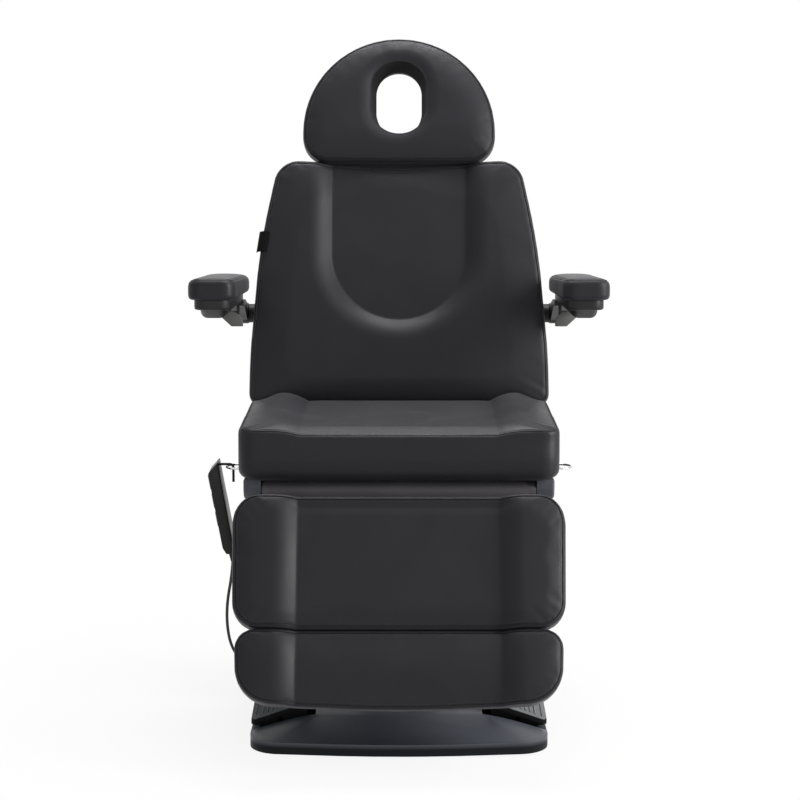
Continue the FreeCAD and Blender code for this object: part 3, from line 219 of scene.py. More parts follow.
def moulded_plastic(name, colour, grain=900.0, rough=(0.38, 0.52), depth=0.00018, specular=0.25):
    """Injection-moulded plastic: fine spark-eroded grain, slight tone drift and scuffs."""
    made, tree, shader, place = finish_named(name)
    cells = wired(tree, "ShaderNodeTexVoronoi", Vector=place, Scale=grain)
    drift = wired(tree, "ShaderNodeTexNoise", Vector=place, Scale=7.0, Detail=4.0)
    tone = mixed(tree, drift.outputs["Fac"], toned(colour, 1 - 0.16), toned(colour, 1 + 0.16))
    tree.links.new(tone, shader.inputs["Base Color"])
    wear = wired(tree, "ShaderNodeTexNoise", Vector=place, Scale=38.0, Detail=6.0, Roughness=0.65)
    gloss = wired(tree, "ShaderNodeMapRange", Value=wear.outputs["Fac"], From_Min=0.3, From_Max=0.7,
                  To_Min=rough[0], To_Max=rough[1])
    tree.links.new(gloss.outputs[0], shader.inputs["Roughness"])
    grains = wired(tree, "ShaderNodeBump", Strength=0.35, Distance=depth, Height=cells.outputs["Distance"])
    tree.links.new(grains.outputs[0], shader.inputs["Normal"])
    shader.inputs["Specular IOR Level"].default_value = specular
    return made


def dress(finish, *names):
    """Gives the frame's own pieces that finish."""
    for name in names:
        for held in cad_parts[name].material_slots:
            held.material = finish


hood_plastic = moulded_plastic("hood_plastic", linear(68, 71, 80), grain=700.0, rough=(0.36, 0.48))
hood_tree = hood_plastic.node_tree
hood_shader = hood_tree.nodes["Principled BSDF"]
spread = hood_shader.inputs["Base Color"].links[0].from_socket
# Painted shade: between 30 mm and 18 mm up, the hood blends to near-black with little specular, standing in for the
# shade on its rim.
where = wired(hood_tree, "ShaderNodeTexCoord")
upright = wired(hood_tree, "ShaderNodeSeparateXYZ", Vector=where.outputs["Object"])
rim_shade_mask = wired(hood_tree, "ShaderNodeMapRange", Value=upright.outputs["Z"], From_Min=0.018, From_Max=0.030)
rim_painted_shade = mixed(hood_tree, rim_shade_mask.outputs[0], linear(24, 25, 28), spread)
hood_tree.links.new(rim_painted_shade, hood_shader.inputs["Base Color"])
rim_shade_specular = wired(hood_tree, "ShaderNodeMapRange", Value=rim_shade_mask.outputs[0], To_Min=0.08, To_Max=0.5)
hood_tree.links.new(rim_shade_specular.outputs[0], hood_shader.inputs["Specular IOR Level"])
black_plastic = moulded_plastic("black_plastic", linear(25, 25, 27))
grey_plastic = moulded_plastic("grey_plastic", linear(86, 86, 85), grain=1100.0)


def softened(node, name, body, width, finish):
    """The frame's own piece with its moulded edges rounded over."""
    made = bmesh.new()
    made.from_mesh(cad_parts[node].data)
    bmesh.ops.remove_doubles(made, verts=made.verts[:], dist=1e-5)
    bmesh.ops.dissolve_limit(made, angle_limit=math.radians(1.5), verts=made.verts[:], edges=made.edges[:])
    bmesh.ops.dissolve_degenerate(made, edges=made.edges[:], dist=2e-4)
    piece = meshed(name, made)
    piece.data.materials.clear()
    piece.data.materials.append(finish)
    smooth(piece)
    piece.data.set_sharp_from_angle(angle=math.radians(35))
    edge = piece.modifiers.new("rounded_edges", "BEVEL")
    edge.width = width
    edge.segments = 3
    edge.limit_method = "ANGLE"
    edge.angle_limit = math.radians(30)
    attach(piece, body)
    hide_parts(node)


softened("base_hood", "hood", "base", 0.005, hood_plastic)
dress(black_plastic, "power_inlet")

rubber, tree, shader, place = finish_named("foot_rubber")
speck = wired(tree, "ShaderNodeTexNoise", Vector=place, Scale=420.0, Detail=4.0)
dull = wired(tree, "ShaderNodeMapRange", Value=speck.outputs["Fac"], To_Min=0.7, To_Max=0.92)
tree.links.new(dull.outputs[0], shader.inputs["Roughness"])
shader.inputs["Base Color"].default_value = linear(22, 22, 22)
dress(rubber, "base_feet")


def coated_steel(name, colour, rough):
    """Powder-coated steel: orange-peel skin over the metal."""
    made, tree, shader, place = finish_named(name)
    peel = wired(tree, "ShaderNodeTexNoise", Vector=place, Scale=520.0, Detail=2.0)
    drift = wired(tree, "ShaderNodeTexNoise", Vector=place, Scale=11.0, Detail=5.0)
    gloss = wired(tree, "ShaderNodeMapRange", Value=drift.outputs["Fac"], From_Min=0.3, From_Max=0.7,
                  To_Min=rough - 0.07, To_Max=rough + 0.07)
    tree.links.new(gloss.outputs[0], shader.inputs["Roughness"])
    shader.inputs["Base Color"].default_value = colour
    shader.inputs["Specular IOR Level"].default_value = 0.25
    skin = wired(tree, "ShaderNodeBump", Strength=0.25, Distance=0.0002, Height=peel.outputs["Fac"])
    tree.links.new(skin.outputs[0], shader.inputs["Normal"])
    return made


def bare_metal(name, colour, rough, draw):
    """Metal with the fine lines its drawing or turning left, stretched along one axis."""
    made, tree, shader, place = finish_named(name)
    turned = wired(tree, "ShaderNodeMapping", Vector=place)
    turned.inputs["Scale"].default_value = draw
    lines = wired(tree, "ShaderNodeTexNoise", Vector=turned.outputs[0], Scale=1.0, Detail=3.0)
    gloss = wired(tree, "ShaderNodeMapRange", Value=lines.outputs["Fac"], From_Min=0.25, From_Max=0.75,
                  To_Min=rough * 0.7, To_Max=rough * 1.4)
    tree.links.new(gloss.outputs[0], shader.inputs["Roughness"])
    shader.inputs["Base Color"].default_value = colour
    shader.inputs["Metallic"].default_value = 1.0
    return made


black_steel = coated_steel("black_steel", linear(20, 20, 22), 0.45)
bright_steel = bare_metal("bright_steel", linear(176, 178, 182), 0.26, (900, 40, 900))
chrome = bare_metal("chrome_wire", linear(214, 214, 216), 0.1, (300, 300, 300))
dress(black_steel, "base_plate", "pedal_brackets")
dress(bright_steel, "pedal_pins")

# Rocker pedals: two moulded treads, one on each side of the base, turning on a pin
# across a bracket; the sloping top has a sunk field of ribs for the shoe.

pedal_plastic = moulded_plastic("pedal_plastic", linear(13, 13, 14), rough=(0.6, 0.75), specular=0.10)
# The treads' grey top is a real two-tone moulding, and it is painted lighter as painted light to make up for the
# chair's shade over the pedals.
tread_grey_painted_light = moulded_plastic("tread_grey_painted_light", linear(112, 114, 117), grain=330.0, rough=(0.6, 0.8), depth=0.0003)
pedal_outer, pedal_inner, pedal_front, pedal_rear = 0.2855, 0.1725, -0.285, -0.125
pedal_low, pedal_rise = 0.050, math.tan(math.radians(19))
pedal_high = pedal_low + (pedal_outer - pedal_inner) * pedal_rise
skirt_inset, skirt_low = 0.006, 0.034
rib_count, rib_pitch, rib_end = 9, 0.0091, 0.018


def mesh_piece(name, made, body, slot, *finishes):
    """A finished rigid piece on its body, shaded smooth between its sharper edges."""
    bmesh.ops.recalc_face_normals(made, faces=made.faces[:])
    piece = meshed(name, made)
    for finish in finishes:
        piece.data.materials.append(finish)
    smooth(piece)
    piece.data.set_sharp_from_angle(angle=math.radians(38))
    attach(piece, body)
    return piece


def doubled(made, faces):
    """Makes a closed block of flat faces, with no height yet; gives the points of its second end."""
    raised = bmesh.ops.extrude_face_region(made, geom=faces, use_keep_orig=True)
    return [part for part in raised["geom"] if isinstance(part, bmesh.types.BMVert)]


def extruded(made, ring, along):
    """A prism from the ring of corner points, carried along the vector; gives its new faces."""
    face = made.faces.new([made.verts.new(co) for co in ring])
    before = set(made.faces)
    bmesh.ops.translate(made, verts=doubled(made, [face]), vec=along)
    return [face] + [f for f in made.faces if f not in before]


def rounded(made, edges, width, steps=3):
    """Rounds the edges over."""
    bmesh.ops.bevel(made, geom=list(edges), offset=width, offset_type="OFFSET", affect="EDGES", segments=steps,
                    profile=0.5, material=-1, clamp_overlap=True)


for side, sign in (("left", -1), ("right", 1)):
    tread = bmesh.new()
    ring = [(sign * pedal_outer, pedal_front, pedal_low), (sign * pedal_outer, pedal_rear, pedal_low),
            (sign * pedal_inner, pedal_rear, pedal_high), (sign * pedal_inner, pedal_front, pedal_high)]
    extruded(tread, ring, (0, 0, -0.0105))
    bmesh.ops.recalc_face_normals(tread, faces=tread.faces[:])
    corners = [e for e in tread.edges if abs(e.verts[0].co.z - e.verts[1].co.z) < 0.011
               and abs(e.verts[0].co.x - e.verts[1].co.x) < 1e-5 and abs(e.verts[0].co.y - e.verts[1].co.y) < 1e-5]
    rounded(tread, corners, 0.012, 4)
    top = max(tread.faces, key=lambda f: f.normal.z * f.calc_area())
    rounded(tread, top.edges, 0.0025, 3)
    top = max(tread.faces, key=lambda f: f.normal.z * f.calc_area())
    for width, depth in ((0.007, 0.0), (0.0012, -0.0016)):
        bmesh.ops.inset_region(tread, faces=[top], thickness=width, depth=depth, use_even_offset=True)
    bmesh.ops.recalc_face_normals(tread, faces=tread.faces[:])
    for face in tread.faces:
        face.material_index = int(face.normal.z > 0.6)
    skirt = [(sign * x, pedal_front + skirt_inset, z) for x, z in (
        (pedal_outer - skirt_inset, pedal_low + skirt_inset * pedal_rise - 0.010),
        (pedal_inner + skirt_inset, pedal_high - skirt_inset * pedal_rise - 0.010),
        (pedal_inner + skirt_inset, skirt_low), (pedal_outer - skirt_inset, skirt_low))]
    extruded(tread, skirt, (0, pedal_rear - pedal_front - 2 * skirt_inset, 0))
    for step in range(rib_count):
        out = pedal_outer - 0.020 - step * rib_pitch
        up = pedal_low + (pedal_outer - out) * pedal_rise - 0.0017
        rib = [(sign * (out - across), pedal_front + rib_end, up + across * pedal_rise + crown)
               for across, crown in ((0, 0), (0.004, 0), (0.003, 0.0016), (0.001, 0.0016))]
        for face in extruded(tread, rib, (0, pedal_rear - pedal_front - 2 * rib_end, 0)):
            face.material_index = 1
    for vert in tread.verts:
        if vert.co.z > skirt_low + 0.0005:
            vert.co.z += 0.007 - 0.0115 * (pedal_rear - vert.co.y) / (pedal_rear - pedal_front)
    pedal = mesh_piece("rocker_pedal_" + side, tread, "pedal_rocker_" + side, "black_plastic",
                       pedal_plastic, tread_grey_painted_light)
    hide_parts("pedal_" + side)

# Lift column: three square steel tubes one inside the other, raised by a motor and
# a screw rod, carrying the plate and the two rails of the seat frame.

column_paint = coated_steel("column_paint", linear(120, 122, 124), 0.4)
dress(column_paint, "lift_outer_tube", "lift_mid_tube", "lift_inner_tube")
dress(bright_steel, "lift_rod")
dress(black_steel, "carriage_plate", "seat_rails", "side_plates")
dress(black_plastic, "lift_motor", "leg_actuator", "back_actuator", "control_box", "cord_gland")
dress(bright_steel, "leg_actuator_rod", "back_actuator_rod")
bush_bronze = bare_metal("bush_bronze", linear(148, 112, 66), 0.35, (60, 60, 60))
dress(bush_bronze, "hinge_bushes")

# Side covers and hook loops: a shallow grey moulding closes each side of the seat
# frame, and a bent chromed wire loop on each takes the hand control's hook.

cover_plastic = moulded_plastic("cover_plastic", linear(76, 79, 86), grain=800.0)
dress(cover_plastic, "side_cover_left", "side_cover_right")
dress(chrome, "hook_loops")

# Seat cushion: moulded foam on a plywood board, covered in charcoal upholstery leather,
# with raised bolsters left and right of a flat sunk panel and a stitched seam along
# the top edge where the panel meets the side band.

def cut_outline(corners):
    """The outline of a panel as one flat face, each corner (x, v, radius) rounded."""
    sheet = bmesh.new()
    verts = [sheet.verts.new((x, v, 0)) for x, v, _ in corners]
    sheet.faces.new(verts)
    for i, (x, v, radius) in enumerate(corners):
        before, after = corners[i - 1], corners[(i + 1) % len(corners)]
        turn = Vector((x - before[0], v - before[1])).angle(Vector((after[0] - x, after[1] - v)))
        bmesh.ops.bevel(sheet, geom=[verts[i]], offset=radius * math.tan(turn / 2), offset_type="OFFSET",
                        affect="VERTICES", segments=max(4, round(turn * 9)), profile=0.5, material=-1)
    for face in sheet.faces:
        face.normal_update()
    return sheet


def foam_block(corners, low, high, shoulder, foot):
    """Foam cut to the outline, its top edge rounded by the shoulder and its foot drawn in."""
    sheet = cut_outline(corners)
    top = doubled(sheet, sheet.faces[:])
    bmesh.ops.translate(sheet, verts=sheet.verts[:], vec=(0, 0, low))
    bmesh.ops.translate(sheet, verts=top, vec=(0, 0, high - low))
    bmesh.ops.recalc_face_normals(sheet, faces=sheet.faces[:])
    for level, width, steps in ((high, shoulder, 5), (low, foot, 4)):
        rim = [e for e in sheet.edges if all(abs(v.co.z - level) < 1e-5 for v in e.verts)]
        rounded(sheet, rim, width, steps)
    return sheet


def baked(piece):
    """Takes what the piece's modifiers make of it as its own mesh."""
    shaped = as_mesh(piece)
    piece.modifiers.clear()
    old, piece.data = piece.data, shaped
    bpy.data.meshes.remove(old)
    shaped.name = piece.name


blown_frames = 20


def plumped(piece, voxel, held_below, cap):
    """Skins the foam with leather and blows its top panel up a little under cloth pressure."""
    skin = piece.modifiers.new("skin", "REMESH")
    skin.mode = "VOXEL"
    skin.voxel_size = voxel
    baked(piece)
    start = [v.co.copy() for v in piece.data.vertices]
    held = piece.vertex_groups.new(name="held")
    held.add([i for i, co in enumerate(start) if co.z < held_below], 1.0, "REPLACE")
    cloth = piece.modifiers.new("pressure", "CLOTH")
    cloth.settings.use_pressure = True
    cloth.settings.uniform_pressure_force = 4.0
    cloth.settings.effector_weights.gravity = 0.0
    cloth.settings.vertex_group_mass = "held"
    cloth.settings.quality = 3
    cloth.point_cache.frame_start, cloth.point_cache.frame_end = 1, blown_frames
    for count in range(1, blown_frames + 1):
        scene.frame_set(count)
    baked(piece)
    scene.frame_set(1)
    for vert, before in zip(piece.data.vertices, start):
        moved = vert.co - before
        if moved.length > cap:
            vert.co = before + moved.normalized() * cap
    piece.vertex_groups.clear()
    finer = piece.modifiers.new("finer", "SUBSURF")
    finer.levels = finer.render_levels = 1
    baked(piece)


def eased(t):
    """Goes from 0 to 1 with a soft start and end."""
    t = min(1.0, max(0.0, t))
    return t * t * (3 - 2 * t)


def sunk_share(past, slope):
    """Share of a sunk panel's depth at a distance past its edge: a crisp inner line, soft outside."""
    if past <= 0:
        return 1.0
    if past >= slope:
        return 0.0
    return (1 - past / slope) ** 1.8


def panel_distance(x, v, half, ends, radius):
    """Distance outside a rectangle with rounded corners, given by its half width and its two ends."""
    middle, reach = (ends[0] + ends[1]) / 2, (ends[1] - ends[0]) / 2
    dx, dv = abs(x) - half + radius, abs(v - middle) - reach + radius
    return math.hypot(max(dx, 0), max(dv, 0)) + min(max(dx, dv), 0) - radius


def inset_loop(corners, inset, spacing):
    """Points at an even spacing along the outline, drawn in by the inset."""
    sheet = cut_outline(corners)
    border = bmesh.ops.inset_region(sheet, faces=sheet.faces[:], thickness=inset, use_even_offset=True,
                                    use_boundary=True)
    bmesh.ops.delete(sheet, geom=border["faces"], context="FACES")
    ring = [v.co.copy() for v in sheet.faces[:][0].verts]
    sheet.free()
    points = []
    for a, b in zip(ring, ring[1:] + ring[:1]):
        steps = max(1, round((b - a).length / spacing))
        points += [a.lerp(b, k / steps) for k in range(steps)]
    return points


def dropped_on(piece, points, lift):
    """The points brought down on the piece from above, standing clear of it by the lift."""
    surface = BVHTree.FromPolygons([v.co for v in piece.data.vertices], [p.vertices for p in piece.data.polygons])
    landed = []
    for point in points:
        hit, normal, _, _ = surface.ray_cast(Vector((point.x, point.y, 1.0)), Vector((0, 0, -1)))
        if hit:
            landed.append(hit + normal * lift)
    return landed


def sewn_line(name, points, radius):
    """A thin round welt along the points, back to the first."""
    line = bpy.data.curves.new(name, "CURVE")
    line.dimensions = "3D"
    line.bevel_depth = radius
    line.bevel_resolution = 2
    run = line.splines.new("POLY")
    run.points.add(len(points) - 1)
    for at, point in zip(run.points, points):
        at.co = (*point, 1)
    run.use_cyclic_u = True
    holder = placed(name + "_line", line)
    mesh = as_mesh(holder)
    bpy.data.objects.remove(holder)
    bpy.data.curves.remove(line)
    mesh.name = name
    piece = placed(name, mesh)
    smooth(piece)
    return piece


def stitched(name, points, pitch, radius):
    """A row of short thread stitches along the points."""
    made = bmesh.new()
    gone, last = 0.0, points[0]
    for point in points[1:] + points[:1]:
        run = point - last
        while run.length > 1e-7 and gone + run.length >= pitch:
            step = pitch - gone
            last = last + run.normalized() * step
            run = point - last
            gone = 0.0
            along = (run if run.length > 1e-6 else point - last + Vector((1e-6, 0, 0))).normalized()
            turn = along.to_track_quat("Z", "Y").to_matrix().to_4x4()
            bmesh.ops.create_cone(made, cap_ends=True, cap_tris=False, segments=6, radius1=radius, radius2=radius,
                                  depth=pitch * 0.68, matrix=Matrix.Translation(last) @ turn)
        gone += run.length
        last = point
    piece = meshed(name, made)
    smooth(piece)
    return piece


def sculpt(piece, shift):
    """Moves each point of the skin by what shift(point) gives."""
    for vert in piece.data.vertices:
        vert.co += shift(vert.co)
    smooth(piece)


def groove_shift(points, reach, depth):
    """A narrow valley pulled in along the seam, with small gathers beside it."""
    count = len(points)
    seam = BVHTree.FromPolygons(points + [p + Vector((0, 0, 1e-4)) for p in points],
                                [(i, (i + 1) % count, (i + 1) % count + count, i + count) for i in range(count)])

    def shift(co):
        near, _, _, distance = seam.find_nearest(co, reach * 3)
        if near is None:
            return Vector()
        pull = depth * math.exp(-(distance / reach) ** 2)
        gather = 0.0004 * math.exp(-(distance / (reach * 2)) ** 2) * noise.noise(co * 130)
        return Vector((0, 0, gather - pull))
    return shift


def leather(name, colour, shine):
    """Upholstery leather: pebbled grain of about 1 mm, pores, faint creases and a soft sheen."""
    made, tree, shader, place = finish_named(name)
    pebbles = wired(tree, "ShaderNodeTexVoronoi", Vector=place, Scale=780.0, Randomness=1.0)
    pebbles.feature = "SMOOTH_F1"
    pores = wired(tree, "ShaderNodeTexNoise", Vector=place, Scale=1500.0, Detail=2.0)
    stretch = wired(tree, "ShaderNodeTexNoise", Vector=place, Scale=9.0, Detail=5.0, Distortion=0.6)
    grain = wired(tree, "ShaderNodeMath", _0=pebbles.outputs["Distance"], _1=pores.outputs["Fac"])
    grain.operation = "ADD"
    bump = wired(tree, "ShaderNodeBump", Strength=0.32, Distance=0.00035, Height=grain.outputs[0])
    slow = wired(tree, "ShaderNodeBump", Strength=0.12, Distance=0.004, Height=stretch.outputs["Fac"],
                 Normal=bump.outputs[0])
    tree.links.new(slow.outputs[0], shader.inputs["Normal"])
    tone = mixed(tree, stretch.outputs["Fac"], toned(colour, 0.86), toned(colour, 1.16))
    tree.links.new(tone, shader.inputs["Base Color"])
    gloss = wired(tree, "ShaderNodeMapRange", Value=stretch.outputs["Fac"], From_Min=0.3, From_Max=0.7,
                  To_Min=shine - 0.05, To_Max=shine + 0.06)
    tree.links.new(gloss.outputs[0], shader.inputs["Roughness"])
    shader.inputs["Specular IOR Level"].default_value = 0.17
    shader.inputs["Sheen Weight"].default_value = 0.04
    shader.inputs["Sheen Roughness"].default_value = 0.4
    return made


charcoal_leather = leather("charcoal_leather", linear(33, 32, 36), 0.44)
welt_leather = leather("welt_leather", linear(25, 25, 28), 0.44)
thread, tree, shader, place = finish_named("sewing_thread")
twist = wired(tree, "ShaderNodeTexNoise", Vector=place, Scale=2600.0, Detail=1.0)
frayed = wired(tree, "ShaderNodeMapRange", Value=twist.outputs["Fac"], To_Min=0.55, To_Max=0.8)
tree.links.new(frayed.outputs[0], shader.inputs["Roughness"])
shader.inputs["Base Color"].default_value = linear(30, 30, 33)

stained_ply, tree, shader, place = finish_named("stained_ply")
plies = wired(tree, "ShaderNodeMapping", Vector=place)
plies.inputs["Scale"].default_value = (6, 60, 90)
figure = wired(tree, "ShaderNodeTexNoise", Vector=plies.outputs[0], Scale=2.0, Detail=6.0)
stain = mixed(tree, figure.outputs["Fac"], linear(20, 18, 17), linear(46, 41, 37))
tree.links.new(stain, shader.inputs["Base Color"])
shader.inputs["Roughness"].default_value = 0.7
pores = wired(tree, "ShaderNodeBump", Strength=0.2, Distance=0.0004, Height=figure.outputs["Fac"])
tree.links.new(pores.outputs[0], shader.inputs["Normal"])


def upholstered(name, node, body, corners, heights, shoulder, foot, cap, sink, seam_inset, to_row, voxel=0.006,
                opening=None, opening_room=None, ease=None):
    """One covered pad: plumped foam, its sunk panel, a welt in its groove and stitches beside the welt."""
    low, high = heights
    swell = cap * 0.8
    block = meshed(name + "_pad", foam_block(corners, low, high - swell, shoulder, foot))
    plumped(block, voxel, high - swell - shoulder * 0.3, cap)
    span = high - low

    def press(co):
        weight = eased(((co.z - low) / span - 0.08) / 0.80)
        return Vector((0, 0, -weight * sink(co.x, co.y))) if weight else Vector()
    sculpt(block, press)
    loop = inset_loop(corners, seam_inset, 0.006)
    sculpt(block, groove_shift(dropped_on(block, loop, 0.0), 0.0032, 0.0015))
    welt = sewn_line(name + "_welt", dropped_on(block, loop, 0.0003), 0.0014)
    beside = dropped_on(block, inset_loop(corners, seam_inset + 0.0042, 0.004), 0.0001)
    stitches = stitched(name + "_stitches", beside, 0.0048, 0.0004)
    if ease is not None:
        for piece in (block, welt, stitches):
            sculpt(piece, ease)
    if opening is not None:
        cut = block.modifiers.new("opening", "BOOLEAN")
        cut.operation = "DIFFERENCE"
        cut.object = opening
        baked(block)
        bpy.data.objects.remove(opening)
        block.data.set_sharp_from_angle(angle=math.radians(42))
        wall = [f.index for f in block.data.polygons if abs(f.normal.z) < 0.7
                and panel_distance(f.center.x, f.center.y, *opening_room) < 0.001]
    for piece, finish in ((block, charcoal_leather), (welt, welt_leather), (stitches, thread)):
        piece.data.materials.clear()
        piece.data.materials.append(finish)
        piece.data.transform(to_row)
        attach(piece, body)
    if opening is not None:
        # Painted shade: the face opening's walls get a near-black, almost unreflecting copy of the leather,
        # standing in for the shade in the hole.
        opening_wall_shade = leather("opening_wall_shade_leather", linear(15, 15, 17), 0.75)
        opening_wall_shade.node_tree.nodes["Principled BSDF"].inputs["Specular IOR Level"].default_value = 0.04
        block.data.materials.append(opening_wall_shade)
        for index in wall:
            block.data.polygons[index].material_index = 1
    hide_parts(node)


seat_nose, seat_rear = -0.262, 0.156
seat_corners = [(-0.309, seat_nose, 0.036), (0.309, seat_nose, 0.036),
                (0.302, seat_rear, 0.105), (-0.302, seat_rear, 0.105)]


def seat_hollow(x, v):
    """The sunk panel, shallower at the front, and the rounding of the bolsters to the rear corners."""
    back = (v - seat_nose) / 0.412
    corner = 0.020 * eased((abs(x) - 0.245) / 0.062) * eased((v - 0.03) / 0.12)
    return (0.0075 + 0.0140 * back) * sunk_share(abs(x) - 0.188, 0.052) + corner - 0.006 - 0.012 * back


def seat_front(co):
    """The front wall leaning back at its top, to leave room for the raised leg rest, and drooping at its foot."""
    wall = 0.009 * eased((-0.200 - co.y) / 0.06) * eased((co.z - 0.545) / 0.050)
    droop = 0.004 * eased((-0.244 - co.y) / 0.012) * eased((0.545 - co.z) / 0.030)
    return Vector((0, wall, -droop))


upholstered("seat", "seat_cushion", "seat", seat_corners, (0.5095, 0.609), 0.010, 0.018, 0.008,
            seat_hollow, 0.005, Matrix.Identity(4), ease=seat_front)
dress(stained_ply, "seat_board")

# Leg rest: a flat upholstered pad with a shallow sunk calf panel, on a plywood board and
# two steel arms from the axle; a rolled leather valance covers the hinge gap.

leg_axis_y, leg_axis_z = -0.222, 0.482
hang = Matrix.Translation((0, leg_axis_y, leg_axis_z)) @ Matrix.Rotation(math.radians(62), 4, "X") \
    @ Matrix.Translation((0, -leg_axis_y, -leg_axis_z))
leg_heights = (0.5325, 0.598)
leg_corners = [(-0.307, -0.514, 0.050), (0.307, -0.514, 0.050), (0.313, -0.2645, 0.050), (-0.313, -0.2645, 0.050)]


def calf_panel(x, v):
    """A panel sunk right through between two side slopes, the borders falling off a little outward."""
    fall = 0.006 * max(0.0, (abs(x) - 0.240) / 0.070) ** 2
    upper = min(1.0, 0.5 + 0.5 * eased((-0.264 - v) / 0.022))
    return 0.019 * upper * sunk_share(abs(x) - 0.190, 0.044) + fall


def leg_rear(co):
    """The rear wall leaning out at its top, up to the seat's front."""
    return Vector((0, 0.008 * eased((co.y + 0.320) / 0.045) * eased((co.z - 0.555) / 0.043), 0))


upholstered("leg", "leg_cushion", "leg_rest", leg_corners, leg_heights, 0.008, 0.022, 0.004,
            calf_panel, 0.006, hang, ease=leg_rear)
dress(stained_ply, "leg_board")
dress(black_steel, "leg_axle", "leg_arms", "foot_guides")

# Foot rest: the pull-out end of the leg rest, the same pad with a bowed tip, on two
# steel rods that slide in the guides under the leg board.

foot_corners = [(-0.298, -0.652, 0.070), (0, -0.664, 1.8), (0.298, -0.652, 0.070),
                (0.304, -0.5145, 0.036), (-0.304, -0.5145, 0.036)]
upholstered("foot", "foot_cushion", "foot_rest", foot_corners, leg_heights, 0.010, 0.026, 0.007,
            calf_panel, 0.005, hang)
dress(stained_ply, "foot_board")
dress(bright_steel, "foot_rods")

# Back rest: a wide shouldered pad with a smooth U-shaped dish for the back, on a plywood
# board and a frame of square tubes; a plain black tag is sewn in its left seam.

back_hinge = (0, 0.194, 0.566)
lean = Matrix.Translation(back_hinge) @ Matrix.Rotation(math.radians(73), 4, "X")
back_heights = (-0.0335, 0.034)
dish_centre = 0.342
back_corners = [(-0.316, 0.018, 0.020), (0.316, 0.018, 0.020), (0.315, 0.120, 1.2), (0.296, 0.358, 1.2),
                (0.257, 0.545, 0.052), (0, 0.530, 1.5), (-0.257, 0.545, 0.052), (-0.296, 0.358, 1.2),
                (-0.315, 0.120, 1.2)]


def back_dish(x, v):
    """A trough down the upper back that ends in a half circle."""
    reach = abs(x) if v > dish_centre else math.hypot(x, v - dish_centre)
    return 0.022 * sunk_share(reach - 0.143, 0.048)


upholstered("back", "back_cushion", "back_rest", back_corners, back_heights, 0.011, 0.016, 0.008,
            back_dish, 0.006, lean)
dress(stained_ply, "back_board")
tag = bmesh.new()
tag_fold = ((-0.2780, 0.0296), (-0.2905, 0.0290), (-0.2960, 0.0250), (-0.2985, 0.0180),
            (-0.3000, 0.0180), (-0.2976, 0.0262), (-0.2912, 0.0306), (-0.2780, 0.0310))
extruded(tag, [(x, 0.342, z) for x, z in tag_fold], (0, 0.044, 0))
for vert in tag.verts:
    vert.co.x += (vert.co.y - 0.364) * 0.15
tag.transform(lean)
woven, tree, shader, place = finish_named("woven_tag")
yarn = wired(tree, "ShaderNodeTexWave", Vector=place, Scale=520.0, Distortion=1.5)
weave = wired(tree, "ShaderNodeBump", Strength=0.5, Distance=0.0003, Height=yarn.outputs["Fac"])
tree.links.new(weave.outputs[0], shader.inputs["Normal"])
shader.inputs["Base Color"].default_value = linear(12, 12, 13)
shader.inputs["Roughness"].default_value = 0.7
shader.inputs["Specular IOR Level"].default_value = 0.08
mesh_piece("side_tag", tag, "back_rest", "leather", woven)
dress(black_steel, "back_uprights", "upper_cross_tube", "lower_cross_tube", "arm_posts")
dress(bright_steel, "hinge_pins")

# Head rest: a half-round pad with an oval face opening through it, on two short arms
# that tilt on the upper cross tube.

head_half, head_foot, head_top, head_round = 0.206, 0.541, 0.8135, 0.205
head_corners = [(-head_half, head_foot, 0.055), (head_half, head_foot, 0.055),
                (head_half, head_top, head_round), (-head_half, head_top, head_round)]
face_half, face_ends, face_round = 0.0656, (0.5955, 0.7645), 0.064
face_rim = [(-face_half, face_ends[0], face_round), (face_half, face_ends[0], face_round),
            (face_half, face_ends[1], face_round), (-face_half, face_ends[1], face_round)]
plug = cut_outline(face_rim)
inner_end = doubled(plug, plug.faces[:])
bmesh.ops.translate(plug, verts=plug.verts[:], vec=(0, 0, 0.06))
bmesh.ops.translate(plug, verts=inner_end, vec=(0, 0, -0.12))
bmesh.ops.scale(plug, verts=inner_end, vec=(0.677, 0.805, 1), space=Matrix.Translation((0, -0.680, 0)))
bmesh.ops.recalc_face_normals(plug, faces=plug.faces[:])


def face_lip(x, v):
    """The leather drawn down a little toward the opening's edge and toward the outline."""
    lip = 0.007 * sunk_share(panel_distance(x, v, 0.061, (0.599, 0.761), 0.058), 0.026)
    if v > 0.605:
        inside = -panel_distance(x, v, head_half, (0.341, head_top), head_round)
    else:
        inside = min(head_half - abs(x), v - head_foot)
    return lip + 0.009 * max(0.0, 1 - inside / 0.060) ** 2


upholstered("head", "head_cushion", "head_rest", head_corners, back_heights, 0.011, 0.014, 0.006,
            face_lip, 0.005, lean, voxel=0.005, opening=meshed("face_plug", plug),
            opening_room=(face_half, face_ends, face_round))
dress(stained_ply, "head_board")
dress(black_steel, "head_arms")

# Valance over the leg hinge: leather rolled round the axle between the seat and the leg
# rest, hemmed at both ends and lying in slight folds.

